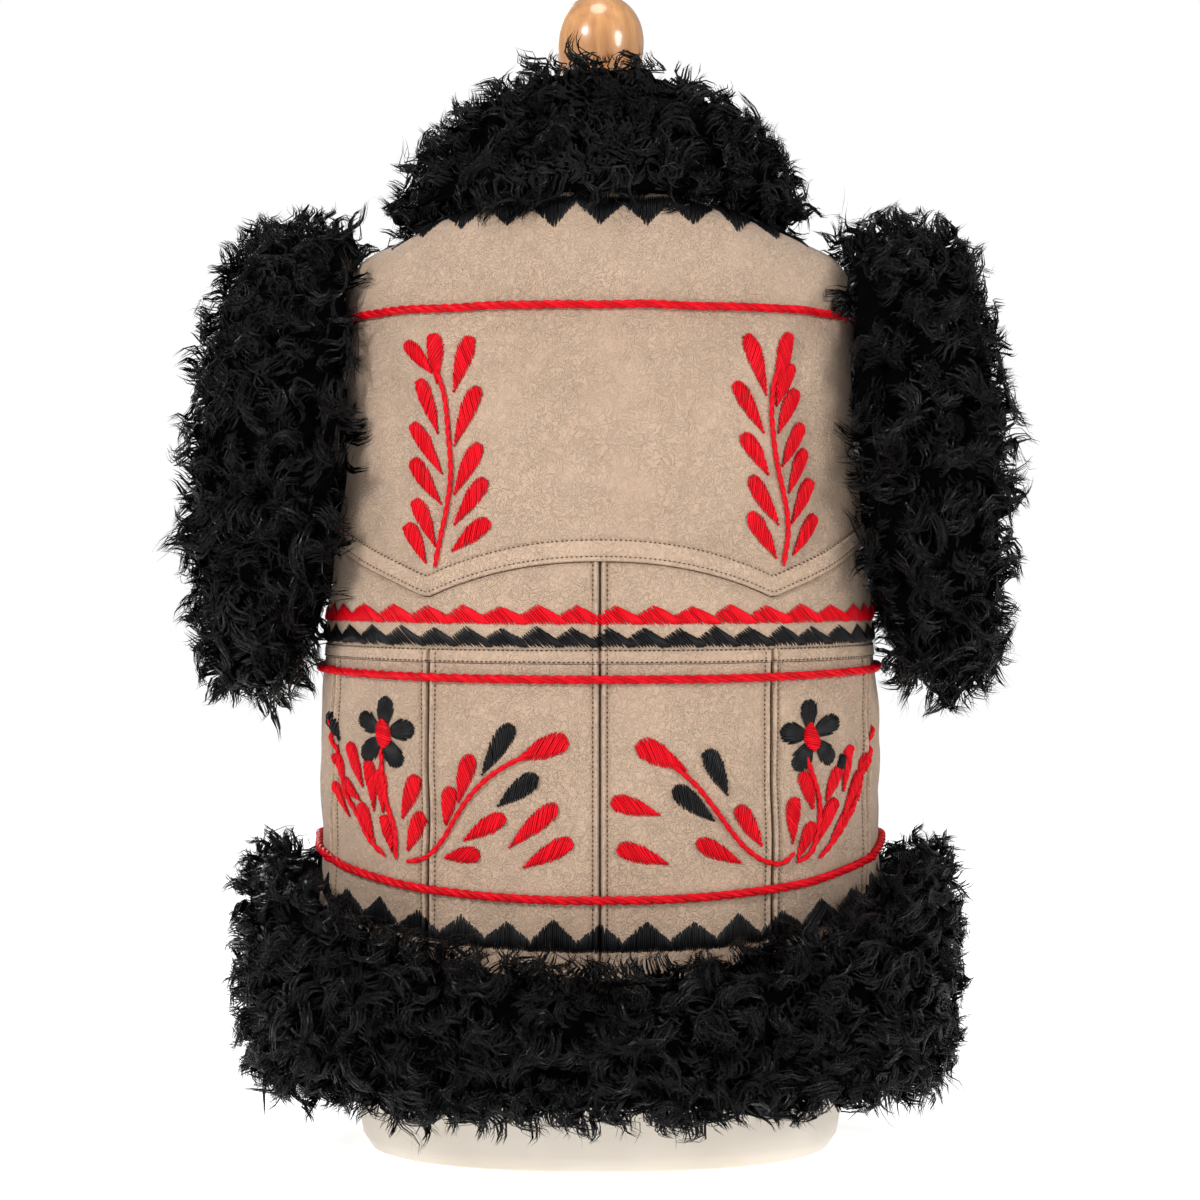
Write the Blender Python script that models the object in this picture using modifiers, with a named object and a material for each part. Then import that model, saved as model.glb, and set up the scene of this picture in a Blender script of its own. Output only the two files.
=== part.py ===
"""Embroidered folk vest on a limbless dress form.

Metres, +Z up.  The vest's back faces +Y, its front -Y, and the origin is on the ground
under the middle of the dress form.  Every piece of hide is a thin wall on one shared
surface, the skin, which is a table of rings from the hem up to the neck.
"""
import math

import bmesh
import bpy
from mathutils import Vector

# ---------------------------------------------------------------- driving sizes
HIDE_THICKNESS = 0.002
SEAM_GAP = 0.0003
FRONT_GAP = 0.003
SQUARENESS = 2.3

HEM_LEVEL = 0.130
WAIST_LEVEL = 0.337
BAND_TOP_LEVEL = 0.3465
NECK_LEVEL = 0.655

YOKE_CENTRE_LEVEL = 0.404
YOKE_POINT_LEVEL = 0.380
YOKE_POINT_X = 0.115
YOKE_SIDE_RISE = 0.46
YOKE_ARCH_POWER = 2.2
YOKE_FACET_ROOM = 0.0004

SKIRT_SEAM_X = 0.113
SIDE_SEAM_X = 0.180
SIDE_TURN = math.radians(90)
FRONT_TURN = math.radians(180)
SHOULDER_LEVEL = 0.600

# Near the side line a turn covers less of a squared ring than of a round one.
SIDE_TURN_RATIO = 1.6
FITTING_ROUNDS = 6
HALVING_ROUNDS = 30

ARMHOLE_CENTRE_Z = 0.4785
ARMHOLE_HALF_DEPTH = 0.054
ARMHOLE_HALF_HEIGHT = 0.108

# Rings of the skin, the outer face of the hide.  A ring is named by its level, which is
# its height at the centre back; at the sides and in front it may run higher or lower.
RING_COLUMNS = ("level", "side_z", "front_z", "half_width", "back_depth", "front_depth")
RINGS = [dict(zip(RING_COLUMNS, row)) for row in (
    (0.100, 0.122, 0.100, 0.1930, 0.1330, 0.1330),
    (0.150, 0.171, 0.150, 0.1940, 0.1340, 0.1340),
    (0.200, 0.218, 0.200, 0.1938, 0.1335, 0.1340),
    (0.260, 0.271, 0.260, 0.1930, 0.1310, 0.1320),
    (0.310, 0.315, 0.310, 0.1918, 0.1270, 0.1290),
    (0.346, 0.349, 0.346, 0.1900, 0.1240, 0.1265),
    (0.400, 0.401, 0.400, 0.1865, 0.1240, 0.1270),
    (0.470, 0.470, 0.466, 0.1840, 0.1250, 0.1290),
    (0.530, 0.528, 0.518, 0.1820, 0.1220, 0.1260),
    (0.571, 0.566, 0.548, 0.1790, 0.1160, 0.1190),
    (0.600, 0.593, 0.566, 0.1750, 0.1060, 0.1100),
    (0.618, 0.609, 0.577, 0.1680, 0.0965, 0.1020),
    (0.632, 0.621, 0.585, 0.1500, 0.0885, 0.0955),
    (0.645, 0.635, 0.591, 0.1180, 0.0815, 0.0890),
    (0.655, 0.646, 0.596, 0.0800, 0.0745, 0.0825),
)]

FORM_COLUMNS = ("height", "half_width", "back_depth", "front_depth")
FORM_RINGS = [dict(zip(FORM_COLUMNS, row)) for row in (
    (0.0000, 0.1500, 0.0980, 0.0980),
    (0.0025, 0.1580, 0.1050, 0.1050),
    (0.0080, 0.1630, 0.1095, 0.1095),
    (0.0180, 0.1655, 0.1120, 0.1120),
    (0.0800, 0.1690, 0.1150, 0.1150),
    (0.1600, 0.1740, 0.1190, 0.1190),
    (0.2500, 0.1760, 0.1170, 0.1190),
    (0.3400, 0.1700, 0.1090, 0.1120),
    (0.4200, 0.1660, 0.1090, 0.1130),
    (0.4900, 0.1660, 0.1090, 0.1130),
    (0.5350, 0.1650, 0.1040, 0.1040),
    (0.5620, 0.1630, 0.0980, 0.0910),
    (0.5800, 0.1580, 0.0930, 0.0820),
    (0.5930, 0.1480, 0.0870, 0.0740),
    (0.6050, 0.1300, 0.0800, 0.0660),
    (0.6170, 0.1040, 0.0720, 0.0600),
    (0.6300, 0.0790, 0.0640, 0.0560),
    (0.6450, 0.0610, 0.0560, 0.0520),
    (0.6650, 0.0510, 0.0490, 0.0490),
    (0.7200, 0.0460, 0.0460, 0.0460),
)]
FORM_SIDES = 36

# Neck knob, a turned profile of radius and height from its top down to its foot.
KNOB_PROFILE_COLUMNS = ("radius", "height")
KNOB_PROFILE = [dict(zip(KNOB_PROFILE_COLUMNS, row)) for row in (
    (0.0000, 0.8010),
    (0.0110, 0.7990),
    (0.0205, 0.7930),
    (0.0270, 0.7840),
    (0.0303, 0.7720),
    (0.0300, 0.7600),
    (0.0280, 0.7490),
    (0.0272, 0.7420),
    (0.0290, 0.7370),
    (0.0420, 0.7350),
    (0.0460, 0.7310),
    (0.0470, 0.7250),
    (0.0460, 0.7203),
    (0.0000, 0.7203),
)]
KNOB_SIDES = 28

# Fur trims: plain solids of the reach of the curls.
ROLL_ROUNDNESS = 0.9

COLLAR_RING_X = 0.1060
COLLAR_HALF_THICKNESS = 0.0400
COLLAR_LEAN = 0.0150
COLLAR_BACK_Z = 0.6930
COLLAR_SIDE_Z = 0.6660
COLLAR_FRONT_Z = 0.6280
COLLAR_BACK_HALF_HEIGHT = 0.0560
COLLAR_SIDE_HALF_HEIGHT = 0.0500
COLLAR_FRONT_HALF_HEIGHT = 0.0400
COLLAR_FRONT_TURN = math.radians(177)
COLLAR_CLEARANCE = 0.0035

HEM_FUR_CENTRE_OUT = 0.0330
HEM_FUR_HALF_THICKNESS = 0.0310
HEM_FUR_BACK_Z = 0.0940
HEM_FUR_SIDE_Z = 0.1300
HEM_FUR_BACK_HALF_HEIGHT = 0.0560
HEM_FUR_SIDE_HALF_HEIGHT = 0.0880
HEM_FUR_ROUNDNESS = 0.8
HEM_FUR_FRONT_TURN = math.radians(179.6)

ARM_FUR_RING_HALF_DEPTH = 0.0790
ARM_FUR_RING_HALF_HEIGHT = 0.1280
ARM_FUR_HALF_THICKNESS = 0.0470
ARM_FUR_HALF_WIDTH = 0.0600
ARM_FUR_CENTRE_X = 0.2260
ARM_FUR_LOW_CENTRE_X = 0.2420
ARM_FUR_LOW_HALF_WIDTH = 0.0430
ARM_FUR_TOP_CENTRE_X = 0.2080
ARM_FUR_TOP_HALF_WIDTH = 0.0560
ARM_FUR_BEND = 1.5
ARM_FUR_CLEARANCE = 0.0040

COLLECTION_NAME = "folk_vest_on_dress_form"


# ---------------------------------------------------------------- ring arithmetic
def signed_power(value, exponent):
    """Power of a signed number that keeps its sign."""
    return math.copysign(abs(value) ** exponent, value)


def ring_direction(turn):
    """Superellipse sine and cosine of a turn measured from the centre back."""
    exponent = 2.0 / SQUARENESS
    return signed_power(math.sin(turn), exponent), signed_power(math.cos(turn), exponent)


def smooth_reading(rows, key_column, key, column):
    """Value of a column at a key, on a smooth curve through the table's rows."""
    last = len(rows) - 1
    index = 0
    while index < last - 1 and rows[index + 1][key_column] <= key:
        index += 1
    before = rows[max(index - 1, 0)]
    start = rows[index]
    end = rows[index + 1]
    after = rows[min(index + 2, last)]
    span = end[key_column] - start[key_column]
    share = (key - start[key_column]) / span
    slope_start = (end[column] - before[column]) / (end[key_column] - before[key_column])
    slope_end = (after[column] - start[column]) / (after[key_column] - start[key_column])
    square = share * share
    cube = square * share
    return ((2 * cube - 3 * square + 1) * start[column]
            + (cube - 2 * square + share) * span * slope_start
            + (3 * square - 2 * cube) * end[column]
            + (cube - square) * span * slope_end)


def skin_size(level, column):
    """A size of the skin's ring at a level."""
    return smooth_reading(RINGS, "level", level, column)


def skin_point(turn, level, out=0.0):
    """Point of the skin, moved out along the ring's own horizontal normal."""
    across, along = ring_direction(turn)
    half_width = skin_size(level, "half_width")
    depth = skin_size(level, "back_depth" if along > 0 else "front_depth")
    end_height = level if along > 0 else skin_size(level, "front_z")
    side_height = skin_size(level, "side_z")
    height = side_height + (end_height - side_height) * along * along
    steepness = SQUARENESS - 1.0
    normal = Vector((signed_power(across, steepness) / half_width,
                     signed_power(along, steepness) / depth, 0.0)).normalized()
    return Vector((half_width * across, depth * along, height)) + normal * out


def turn_at_x(x, level):
    """Turn at which the back of a ring is x from the centre line."""
    across = min(abs(x) / skin_size(level, "half_width"), 1.0)
    return math.copysign(math.asin(across ** (SQUARENESS / 2.0)), x)


def yoke_level(turn):
    """Level of the yoke's lower edge: an arch between two points, rising to the sides."""
    x = abs(skin_point(turn, YOKE_POINT_LEVEL).x)
    if x <= YOKE_POINT_X:
        share = x / YOKE_POINT_X
        return YOKE_CENTRE_LEVEL - (YOKE_CENTRE_LEVEL - YOKE_POINT_LEVEL) * share ** YOKE_ARCH_POWER
    return YOKE_POINT_LEVEL + YOKE_SIDE_RISE * (x - YOKE_POINT_X)


def armhole_turn(level):
    """Turn of the armhole's back edge at a level, or the side line away from it."""
    height = (skin_size(level, "side_z") - ARMHOLE_CENTRE_Z) / ARMHOLE_HALF_HEIGHT
    if abs(height) >= 1.0:
        return SIDE_TURN
    edge_y = ARMHOLE_HALF_DEPTH * math.sqrt(1.0 - height * height)
    along = edge_y / skin_size(level, "back_depth")
    return math.acos(along ** (SQUARENESS / 2.0))


def half_gap_turn(level):
    """Turn that half a seam's gap takes up on a ring's side."""
    return 0.5 * SEAM_GAP / skin_size(level, "back_depth") * SIDE_TURN_RATIO


# ---------------------------------------------------------------- objects and materials
def clear_scene():
    for item in list(bpy.data.objects):
        bpy.data.objects.remove(item, do_unlink=True)


def make_material(name, color, roughness, metallic=0.0):
    material = bpy.data.materials.new(name)
    material.use_nodes = True
    shader = material.node_tree.nodes["Principled BSDF"]
    shader.inputs["Base Color"].default_value = (*color, 1.0)
    shader.inputs["Roughness"].default_value = roughness
    shader.inputs["Metallic"].default_value = metallic
    material.diffuse_color = (*color, 1.0)
    return material


def add_object(name, graph, material):
    """Put a bmesh into the part's collection as a smooth-shaded object."""
    bmesh.ops.recalc_face_normals(graph, faces=graph.faces)
    mesh = bpy.data.meshes.new(name)
    graph.to_mesh(mesh)
    graph.free()
    mesh.materials.append(material)
    mesh.shade_smooth()
    mesh.set_sharp_from_angle(angle=math.radians(40))
    item = bpy.data.objects.new(name, mesh)
    bpy.data.collections[COLLECTION_NAME].objects.link(item)
    return item


def shaped_grid(point, columns, rows):
    """A grid whose corner (0, 0) to (1, 1) is laid out by point(u, v)."""
    graph = bmesh.new()
    bmesh.ops.create_grid(graph, x_segments=columns, y_segments=rows, size=0.5)
    for vertex in graph.verts:
        vertex.co = point(vertex.co.x + 0.5, vertex.co.y + 0.5)
    return graph


def close_ends(graph):
    """Fill each open end of a tube with a fan of triangles."""
    edges = [edge for edge in graph.edges if edge.is_boundary]
    if edges:
        faces = bmesh.ops.holes_fill(graph, edges=edges, sides=0)["faces"]
        bmesh.ops.triangulate(graph, faces=faces)


def make_roll(name, point, columns, rows, material):
    """A closed roll: point(u, v) with v once round its section and u along it."""
    graph = shaped_grid(point, columns, rows)
    bmesh.ops.remove_doubles(graph, verts=graph.verts, dist=0.00001)
    close_ends(graph)
    return add_object(name, graph, material)


# ---------------------------------------------------------------- hide panels
def make_panel(name, left, right, bottom, top, columns, rows, material):
    """A wall of hide between two turns and two levels, each a function of the other."""
    def place(u, v):
        level = WAIST_LEVEL
        turn = 0.0
        for _ in range(FITTING_ROUNDS):
            turn = left(level) + (right(level) - left(level)) * u
            level = bottom(turn) + (top(turn) - bottom(turn)) * v
        return skin_point(turn, level)

    graph = shaped_grid(place, columns, rows)
    item = add_object(name, graph, material)
    centre = sum((vertex.co for vertex in item.data.vertices), Vector()) / len(item.data.vertices)
    if item.data.polygons[0].normal.dot(Vector((centre.x, centre.y, 0.0))) < 0:
        item.data.flip_normals()
    wall = item.modifiers.new("hide", "SOLIDIFY")
    wall.thickness = HIDE_THICKNESS
    wall.offset = -1.0
    return item


def constant(value):
    return lambda _: value


def back_line(x):
    """Turn of an upright line on the back, x from the centre."""
    return lambda level: turn_at_x(x, level)


def mirrored(line):
    return lambda level: -line(level)


def side_edge_back(level):
    return armhole_turn(level) - half_gap_turn(level)


def side_edge_front(level):
    return math.pi - armhole_turn(level) + half_gap_turn(level)


def front_edge(level):
    return FRONT_TURN - turn_at_x(0.5 * FRONT_GAP, level)


def skirt_front_edge_back(level):
    return turn_at_x(SIDE_SEAM_X, level) + half_gap_turn(level)


def make_hide(material):
    gap = 0.5 * SEAM_GAP
    waist_top = BAND_TOP_LEVEL + gap
    skirt_top = WAIST_LEVEL - gap
    make_panel("back_yoke", mirrored(side_edge_back), side_edge_back,
               lambda turn: yoke_level(turn) + gap, constant(NECK_LEVEL), 20, 14, material)
    for side, name in ((1, "left"), (-1, "right")):
        def sided(line, flip=side):
            return lambda level: flip * line(level)
        make_panel("back_waist_" + name, sided(back_line(gap)), sided(side_edge_back),
                   constant(waist_top), lambda turn: yoke_level(turn) - gap - YOKE_FACET_ROOM,
                   12, 2, material)
        make_panel("front_" + name, sided(side_edge_front), sided(front_edge),
                   constant(waist_top), constant(NECK_LEVEL), 10, 15, material)
        make_panel("back_skirt_" + name, sided(back_line(gap)),
                   sided(back_line(SKIRT_SEAM_X - gap)),
                   constant(HEM_LEVEL), constant(skirt_top), 6, 6, material)
        make_panel("side_skirt_" + name, sided(back_line(SKIRT_SEAM_X + gap)),
                   sided(back_line(SIDE_SEAM_X - gap)),
                   constant(HEM_LEVEL), constant(skirt_top), 5, 6, material)
        make_panel("front_skirt_" + name, sided(skirt_front_edge_back), sided(front_edge),
                   constant(HEM_LEVEL), constant(skirt_top), 14, 6, material)
    make_panel("waistband", mirrored(front_edge), front_edge,
               constant(WAIST_LEVEL + gap), constant(BAND_TOP_LEVEL - gap), 48, 1, material)


# ---------------------------------------------------------------- fur trims
def blend_round(turn, back, side, front):
    """A size that goes from back to side to front round a ring."""
    _, along = ring_direction(turn)
    end = back if along > 0 else front
    return side + (end - side) * along * along


def level_of_half_width(half_width):
    """Level, above the shoulder's turn, of the ring that is this wide."""
    low = SHOULDER_LEVEL
    high = NECK_LEVEL
    for _ in range(HALVING_ROUNDS):
        middle = 0.5 * (low + high)
        if skin_size(middle, "half_width") > half_width:
            low = middle
        else:
            high = middle
    return 0.5 * (low + high)


def collar_point(u, v):
    """Point of the collar's roll, which lies round the neck on the shoulders."""
    turn = COLLAR_FRONT_TURN * (2.0 * u - 1.0)
    angle = 2.0 * math.pi * v
    across, along = ring_direction(turn)
    outward = signed_power(math.cos(angle), ROLL_ROUNDNESS)
    upward = signed_power(math.sin(angle), ROLL_ROUNDNESS)
    ring_x = COLLAR_RING_X + COLLAR_HALF_THICKNESS * outward - COLLAR_LEAN * upward
    half_height = blend_round(turn, COLLAR_BACK_HALF_HEIGHT, COLLAR_SIDE_HALF_HEIGHT,
                              COLLAR_FRONT_HALF_HEIGHT)
    centre = blend_round(turn, COLLAR_BACK_Z, COLLAR_SIDE_Z, COLLAR_FRONT_Z)
    level = level_of_half_width(ring_x)
    floor = skin_point(turn, level).z + COLLAR_CLEARANCE
    slope_share = (skin_size(level, "half_width") - ring_x) / skin_size(level, "half_width")
    depth = skin_size(level, "back_depth" if along > 0 else "front_depth") * (1.0 - slope_share)
    height = max(centre + half_height * upward, floor)
    return Vector((ring_x * across, depth * along, height))


def hem_fur_point(u, v):
    """Point of the hem's roll, whose inner side follows the skin just clear of it."""
    turn = HEM_FUR_FRONT_TURN * (2.0 * u - 1.0)
    angle = 2.0 * math.pi * v
    out = HEM_FUR_CENTRE_OUT + HEM_FUR_HALF_THICKNESS * signed_power(math.cos(angle),
                                                                     HEM_FUR_ROUNDNESS)
    half_height = blend_round(turn, HEM_FUR_BACK_HALF_HEIGHT, HEM_FUR_SIDE_HALF_HEIGHT,
                              HEM_FUR_BACK_HALF_HEIGHT)
    centre = blend_round(turn, HEM_FUR_BACK_Z, HEM_FUR_SIDE_Z, HEM_FUR_BACK_Z)
    height = centre + half_height * signed_power(math.sin(angle), ROLL_ROUNDNESS)
    place = skin_point(turn, HEM_LEVEL, out)
    return Vector((place.x, place.y, height))


def body_reach(y, z):
    """How far the skin reaches to the side at a depth and a height, or 0 beyond it."""
    level = z
    for _ in range(FITTING_ROUNDS):
        level = min(max(level + z - skin_side_height(y, level), HEM_LEVEL), NECK_LEVEL)
    if skin_side_height(y, level) < z - ARM_FUR_CLEARANCE:
        return 0.0
    share = abs(y) / skin_size(level, "back_depth" if y > 0 else "front_depth")
    if share >= 1.0:
        return 0.0
    return skin_size(level, "half_width") * (1.0 - share ** SQUARENESS) ** (1.0 / SQUARENESS)


def skin_side_height(y, level):
    """Height of a ring of the skin where it passes a depth."""
    end = "back_depth" if y > 0 else "front_depth"
    end_height = level if y > 0 else skin_size(level, "front_z")
    side_height = skin_size(level, "side_z")
    along = min(abs(y) / skin_size(level, end), 1.0)
    return side_height + (end_height - side_height) * along * along


def arm_fur_point(side, u, v):
    """Point of an armhole's ring, laid back against the body where it would cut it."""
    round_hole = 2.0 * math.pi * u
    angle = 2.0 * math.pi * v
    lowness = max(0.0, -math.sin(round_hole)) ** ARM_FUR_BEND
    highness = max(0.0, math.sin(round_hole)) ** ARM_FUR_BEND
    centre_x = (ARM_FUR_CENTRE_X + (ARM_FUR_LOW_CENTRE_X - ARM_FUR_CENTRE_X) * lowness
                + (ARM_FUR_TOP_CENTRE_X - ARM_FUR_CENTRE_X) * highness)
    half_width = (ARM_FUR_HALF_WIDTH + (ARM_FUR_LOW_HALF_WIDTH - ARM_FUR_HALF_WIDTH) * lowness
                  + (ARM_FUR_TOP_HALF_WIDTH - ARM_FUR_HALF_WIDTH) * highness)
    inward = ARM_FUR_HALF_THICKNESS * signed_power(math.cos(angle), ROLL_ROUNDNESS)
    y = (ARM_FUR_RING_HALF_DEPTH + inward) * math.cos(round_hole)
    z = ARMHOLE_CENTRE_Z + (ARM_FUR_RING_HALF_HEIGHT + inward) * math.sin(round_hole)
    x = centre_x + half_width * signed_power(math.sin(angle), ROLL_ROUNDNESS)
    return Vector((side * max(x, body_reach(y, z) + ARM_FUR_CLEARANCE), y, z))


def make_fur(material):
    make_roll("collar_fur", collar_point, 36, 12, material)
    make_roll("hem_fur", hem_fur_point, 44, 10, material)
    for side, name in ((1, "left"), (-1, "right")):
        make_roll("armhole_fur_" + name, lambda u, v, flip=side: arm_fur_point(flip, u, v),
                  28, 12, material)


# ---------------------------------------------------------------- dress form
def make_form(cover, wood):
    """The covered body, lofted through its rings, and the turned knob on its neck."""
    last = len(FORM_RINGS) - 1

    def place(u, v):
        row = FORM_RINGS[round(v * last)]
        across, along = ring_direction(2.0 * math.pi * u)
        depth = row["back_depth"] if along > 0 else row["front_depth"]
        return Vector((row["half_width"] * across, depth * along, row["height"]))

    make_roll("dress_form", place, FORM_SIDES, last, cover)

    mesh = bpy.data.meshes.new("neck_knob")
    graph = bmesh.new()
    corners = [graph.verts.new((row["radius"], 0.0, row["height"])) for row in KNOB_PROFILE]
    for upper, lower in zip(corners, corners[1:]):
        graph.edges.new((upper, lower))
    graph.to_mesh(mesh)
    graph.free()
    mesh.materials.append(wood)
    knob = bpy.data.objects.new("neck_knob", mesh)
    bpy.data.collections[COLLECTION_NAME].objects.link(knob)
    turning = knob.modifiers.new("turning", "SCREW")
    turning.steps = KNOB_SIDES
    turning.render_steps = KNOB_SIDES
    turning.use_merge_vertices = True
    turning.merge_threshold = 0.00001
    turning.use_smooth_shade = True


def main():
    clear_scene()
    collection = bpy.data.collections.new(COLLECTION_NAME)
    bpy.context.scene.collection.children.link(collection)
    hide = make_material("suede", (0.55, 0.40, 0.29), 0.85)
    fur = make_material("curly_fur", (0.010, 0.010, 0.011), 0.55)
    cover = make_material("form_cover", (0.72, 0.64, 0.54), 0.8)
    wood = make_material("varnished_wood", (0.62, 0.31, 0.13), 0.3)
    make_hide(hide)
    make_fur(fur)
    make_form(cover, wood)


main()
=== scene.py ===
# %% [markdown]
# # An embroidered folk vest on a dress form
#
# The real garment is a sleeveless vest of soft tan hide, pieced from a dozen panels,
# embroidered in red and black silk, and trimmed with curly black lamb fur at the neck,
# the armholes and the hem.  It stands on a limbless dress form with a turned wooden knob.
#
# The imported model gives the fixed frame: where each panel, trim and part of the form is.
# Everything below is laid on that frame, so the first cell loads it.


# %% Load the frame
import math

import bpy
import numpy as np
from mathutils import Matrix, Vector, kdtree


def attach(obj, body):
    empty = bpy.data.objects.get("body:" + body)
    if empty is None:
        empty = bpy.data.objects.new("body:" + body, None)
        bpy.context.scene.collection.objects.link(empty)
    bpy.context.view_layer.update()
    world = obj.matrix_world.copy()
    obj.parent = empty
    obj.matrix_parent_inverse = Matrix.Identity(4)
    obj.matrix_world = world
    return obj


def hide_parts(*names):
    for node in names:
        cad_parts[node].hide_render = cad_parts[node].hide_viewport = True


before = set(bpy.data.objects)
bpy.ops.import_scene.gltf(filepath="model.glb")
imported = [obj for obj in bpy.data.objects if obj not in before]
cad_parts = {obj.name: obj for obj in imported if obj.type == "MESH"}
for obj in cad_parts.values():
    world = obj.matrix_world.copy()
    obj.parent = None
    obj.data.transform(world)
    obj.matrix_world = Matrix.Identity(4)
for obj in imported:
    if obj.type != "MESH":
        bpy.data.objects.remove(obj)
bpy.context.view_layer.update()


# %% [markdown]
# ## Camera, floor and light
#
# A garment shows best from level with its middle and from a couple of metres away, so that
# upright seams stay upright.  The camera looks at the back of the vest.  The stage is one
# pale floor that runs to the horizon.  The strongest lamp is on the left, and softer ones
# on the right, above and in front of the form fill in, so that folds are shaded but no
# shadow is hard.


# %% Camera
CAMERA_DISTANCE = 1.93
CAMERA_HEIGHT = 0.379
LENS_LENGTH = 83.0
SENSOR_WIDTH = 36.0


def add_object(name, data):
    """Put a mesh, a lamp or a camera into the scene."""
    made = bpy.data.objects.new(name, data)
    bpy.context.scene.collection.objects.link(made)
    return made


def add_camera():
    camera_data = bpy.data.cameras.new("camera")
    camera_data.lens = LENS_LENGTH
    camera_data.sensor_width = SENSOR_WIDTH
    camera = add_object("camera", camera_data)
    camera.location = (0.0, CAMERA_DISTANCE, CAMERA_HEIGHT)
    camera.rotation_euler = (math.radians(90), 0.0, math.radians(180))
    bpy.context.scene.camera = camera


add_camera()
print("camera", CAMERA_DISTANCE, "m behind the form, lens", LENS_LENGTH, "mm")


# %% Floor
WHITE = (1.0, 1.0, 1.0, 1.0)
FLOOR_REACH = 6.0
FLOOR_GREY = 0.76
FLOOR_GLOW = 0.74


def add_floor(reach):
    """A pale floor far wider than the form, lit from within like a light table."""
    mesh = bpy.data.meshes.new("floor")
    mesh.from_pydata([(-reach, -reach, 0), (reach, -reach, 0), (reach, reach, 0),
                      (-reach, reach, 0)], [], [(0, 1, 2, 3)])
    paint = bpy.data.materials.new("pale_floor")
    paint.use_nodes = True
    shader = paint.node_tree.nodes["Principled BSDF"]
    shader.inputs["Base Color"].default_value = (FLOOR_GREY, FLOOR_GREY, FLOOR_GREY, 1.0)
    shader.inputs["Roughness"].default_value = 0.8
    shader.inputs["Specular IOR Level"].default_value = 0.0
    shader.inputs["Emission Color"].default_value = WHITE
    shader.inputs["Emission Strength"].default_value = FLOOR_GLOW
    mesh.materials.append(paint)
    add_object("floor", mesh)


add_floor(FLOOR_REACH)
print("floor", 2 * FLOOR_REACH, "m square")


# %% Lamps and room light
ROOM_LIGHT = 0.35
LAMP_TARGET = (0.0, 0.0, 0.4)
LAMPS = (
    ("key_light", (1.40, 1.65, 1.50), 0.45, 37.0),
    ("fill_light", (-1.70, 1.50, 1.10), 0.80, 23.0),
    ("top_light", (0.10, 0.50, 2.30), 0.90, 11.0),
    ("front_light", (0.90, -1.90, 1.50), 0.90, 26.0),
)


def light_room():
    """An even light from all round, dimmer than the plain white that the camera sees."""
    world = bpy.data.worlds.new("studio")
    bpy.context.scene.world = world
    world.use_nodes = True
    tree = world.node_tree
    soft = tree.nodes["Background"]
    seen = tree.nodes.new("ShaderNodeBackground")
    for background, strength in ((soft, ROOM_LIGHT), (seen, 1.0)):
        background.inputs["Color"].default_value = WHITE
        background.inputs["Strength"].default_value = strength
    ray = tree.nodes.new("ShaderNodeLightPath")
    mix = tree.nodes.new("ShaderNodeMixShader")
    tree.links.new(ray.outputs["Is Camera Ray"], mix.inputs[0])
    tree.links.new(soft.outputs[0], mix.inputs[1])
    tree.links.new(seen.outputs[0], mix.inputs[2])
    tree.links.new(mix.outputs[0], tree.nodes["World Output"].inputs["Surface"])


def add_lamp(name, place, size, watts):
    """A round soft lamp that shines at the middle of the vest."""
    lamp_data = bpy.data.lights.new(name, "AREA")
    lamp_data.shape = "DISK"
    lamp_data.size = size
    lamp_data.energy = watts
    lamp = add_object(name, lamp_data)
    lamp.location = place
    aim = Vector(LAMP_TARGET) - lamp.location
    lamp.rotation_euler = aim.to_track_quat("-Z", "Y").to_euler()
    print(name, watts, "watts")


light_room()
for lamp_row in LAMPS:
    add_lamp(*lamp_row)
bpy.context.scene.view_settings.view_transform = "Standard"


# %% [markdown]
# ## The skin: one surface that every panel lies on
#
# A maker fits a vest on a figure and then marks every seam on that one surface.  The same
# idea keeps this model tidy: a short table of rings, from the hem up to the neck, describes
# the outer face of the hide.  A place on it has two pattern coordinates, like a place on
# the cutting table: `across`, the distance round the body from the centre back, and
# `level`, the height at the centre back.  NumPy works out thousands of places at a time.


# %% Ring table of the skin
SQUARENESS = 2.3
RING_COLUMNS = ("level", "side_z", "front_z", "half_width", "back_depth", "front_depth")
RING_ROWS = (
    (0.100, 0.122, 0.100, 0.1930, 0.1330, 0.1330),
    (0.150, 0.171, 0.150, 0.1940, 0.1340, 0.1340),
    (0.200, 0.218, 0.200, 0.1938, 0.1335, 0.1340),
    (0.260, 0.271, 0.260, 0.1930, 0.1310, 0.1320),
    (0.310, 0.315, 0.310, 0.1918, 0.1270, 0.1290),
    (0.346, 0.349, 0.346, 0.1900, 0.1240, 0.1265),
    (0.400, 0.401, 0.400, 0.1865, 0.1240, 0.1270),
    (0.470, 0.470, 0.466, 0.1840, 0.1250, 0.1290),
    (0.530, 0.528, 0.518, 0.1820, 0.1220, 0.1260),
    (0.571, 0.566, 0.548, 0.1790, 0.1160, 0.1190),
    (0.600, 0.593, 0.566, 0.1750, 0.1060, 0.1100),
    (0.618, 0.609, 0.577, 0.1680, 0.0965, 0.1020),
    (0.632, 0.621, 0.585, 0.1500, 0.0885, 0.0955),
    (0.645, 0.635, 0.591, 0.1180, 0.0815, 0.0890),
    (0.655, 0.646, 0.596, 0.0800, 0.0745, 0.0825),
)
RING = {name: np.array(column) for name, column in zip(RING_COLUMNS, zip(*RING_ROWS))}


def hermite(share, span, start, end, slope_start, slope_end):
    """A smooth curve's value part of the way along a span, from its ends and slopes."""
    square = share * share
    cube = square * share
    return ((2 * cube - 3 * square + 1) * start
            + (cube - 2 * square + share) * span * slope_start
            + (3 * square - 2 * cube) * end
            + (cube - square) * span * slope_end)


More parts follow.
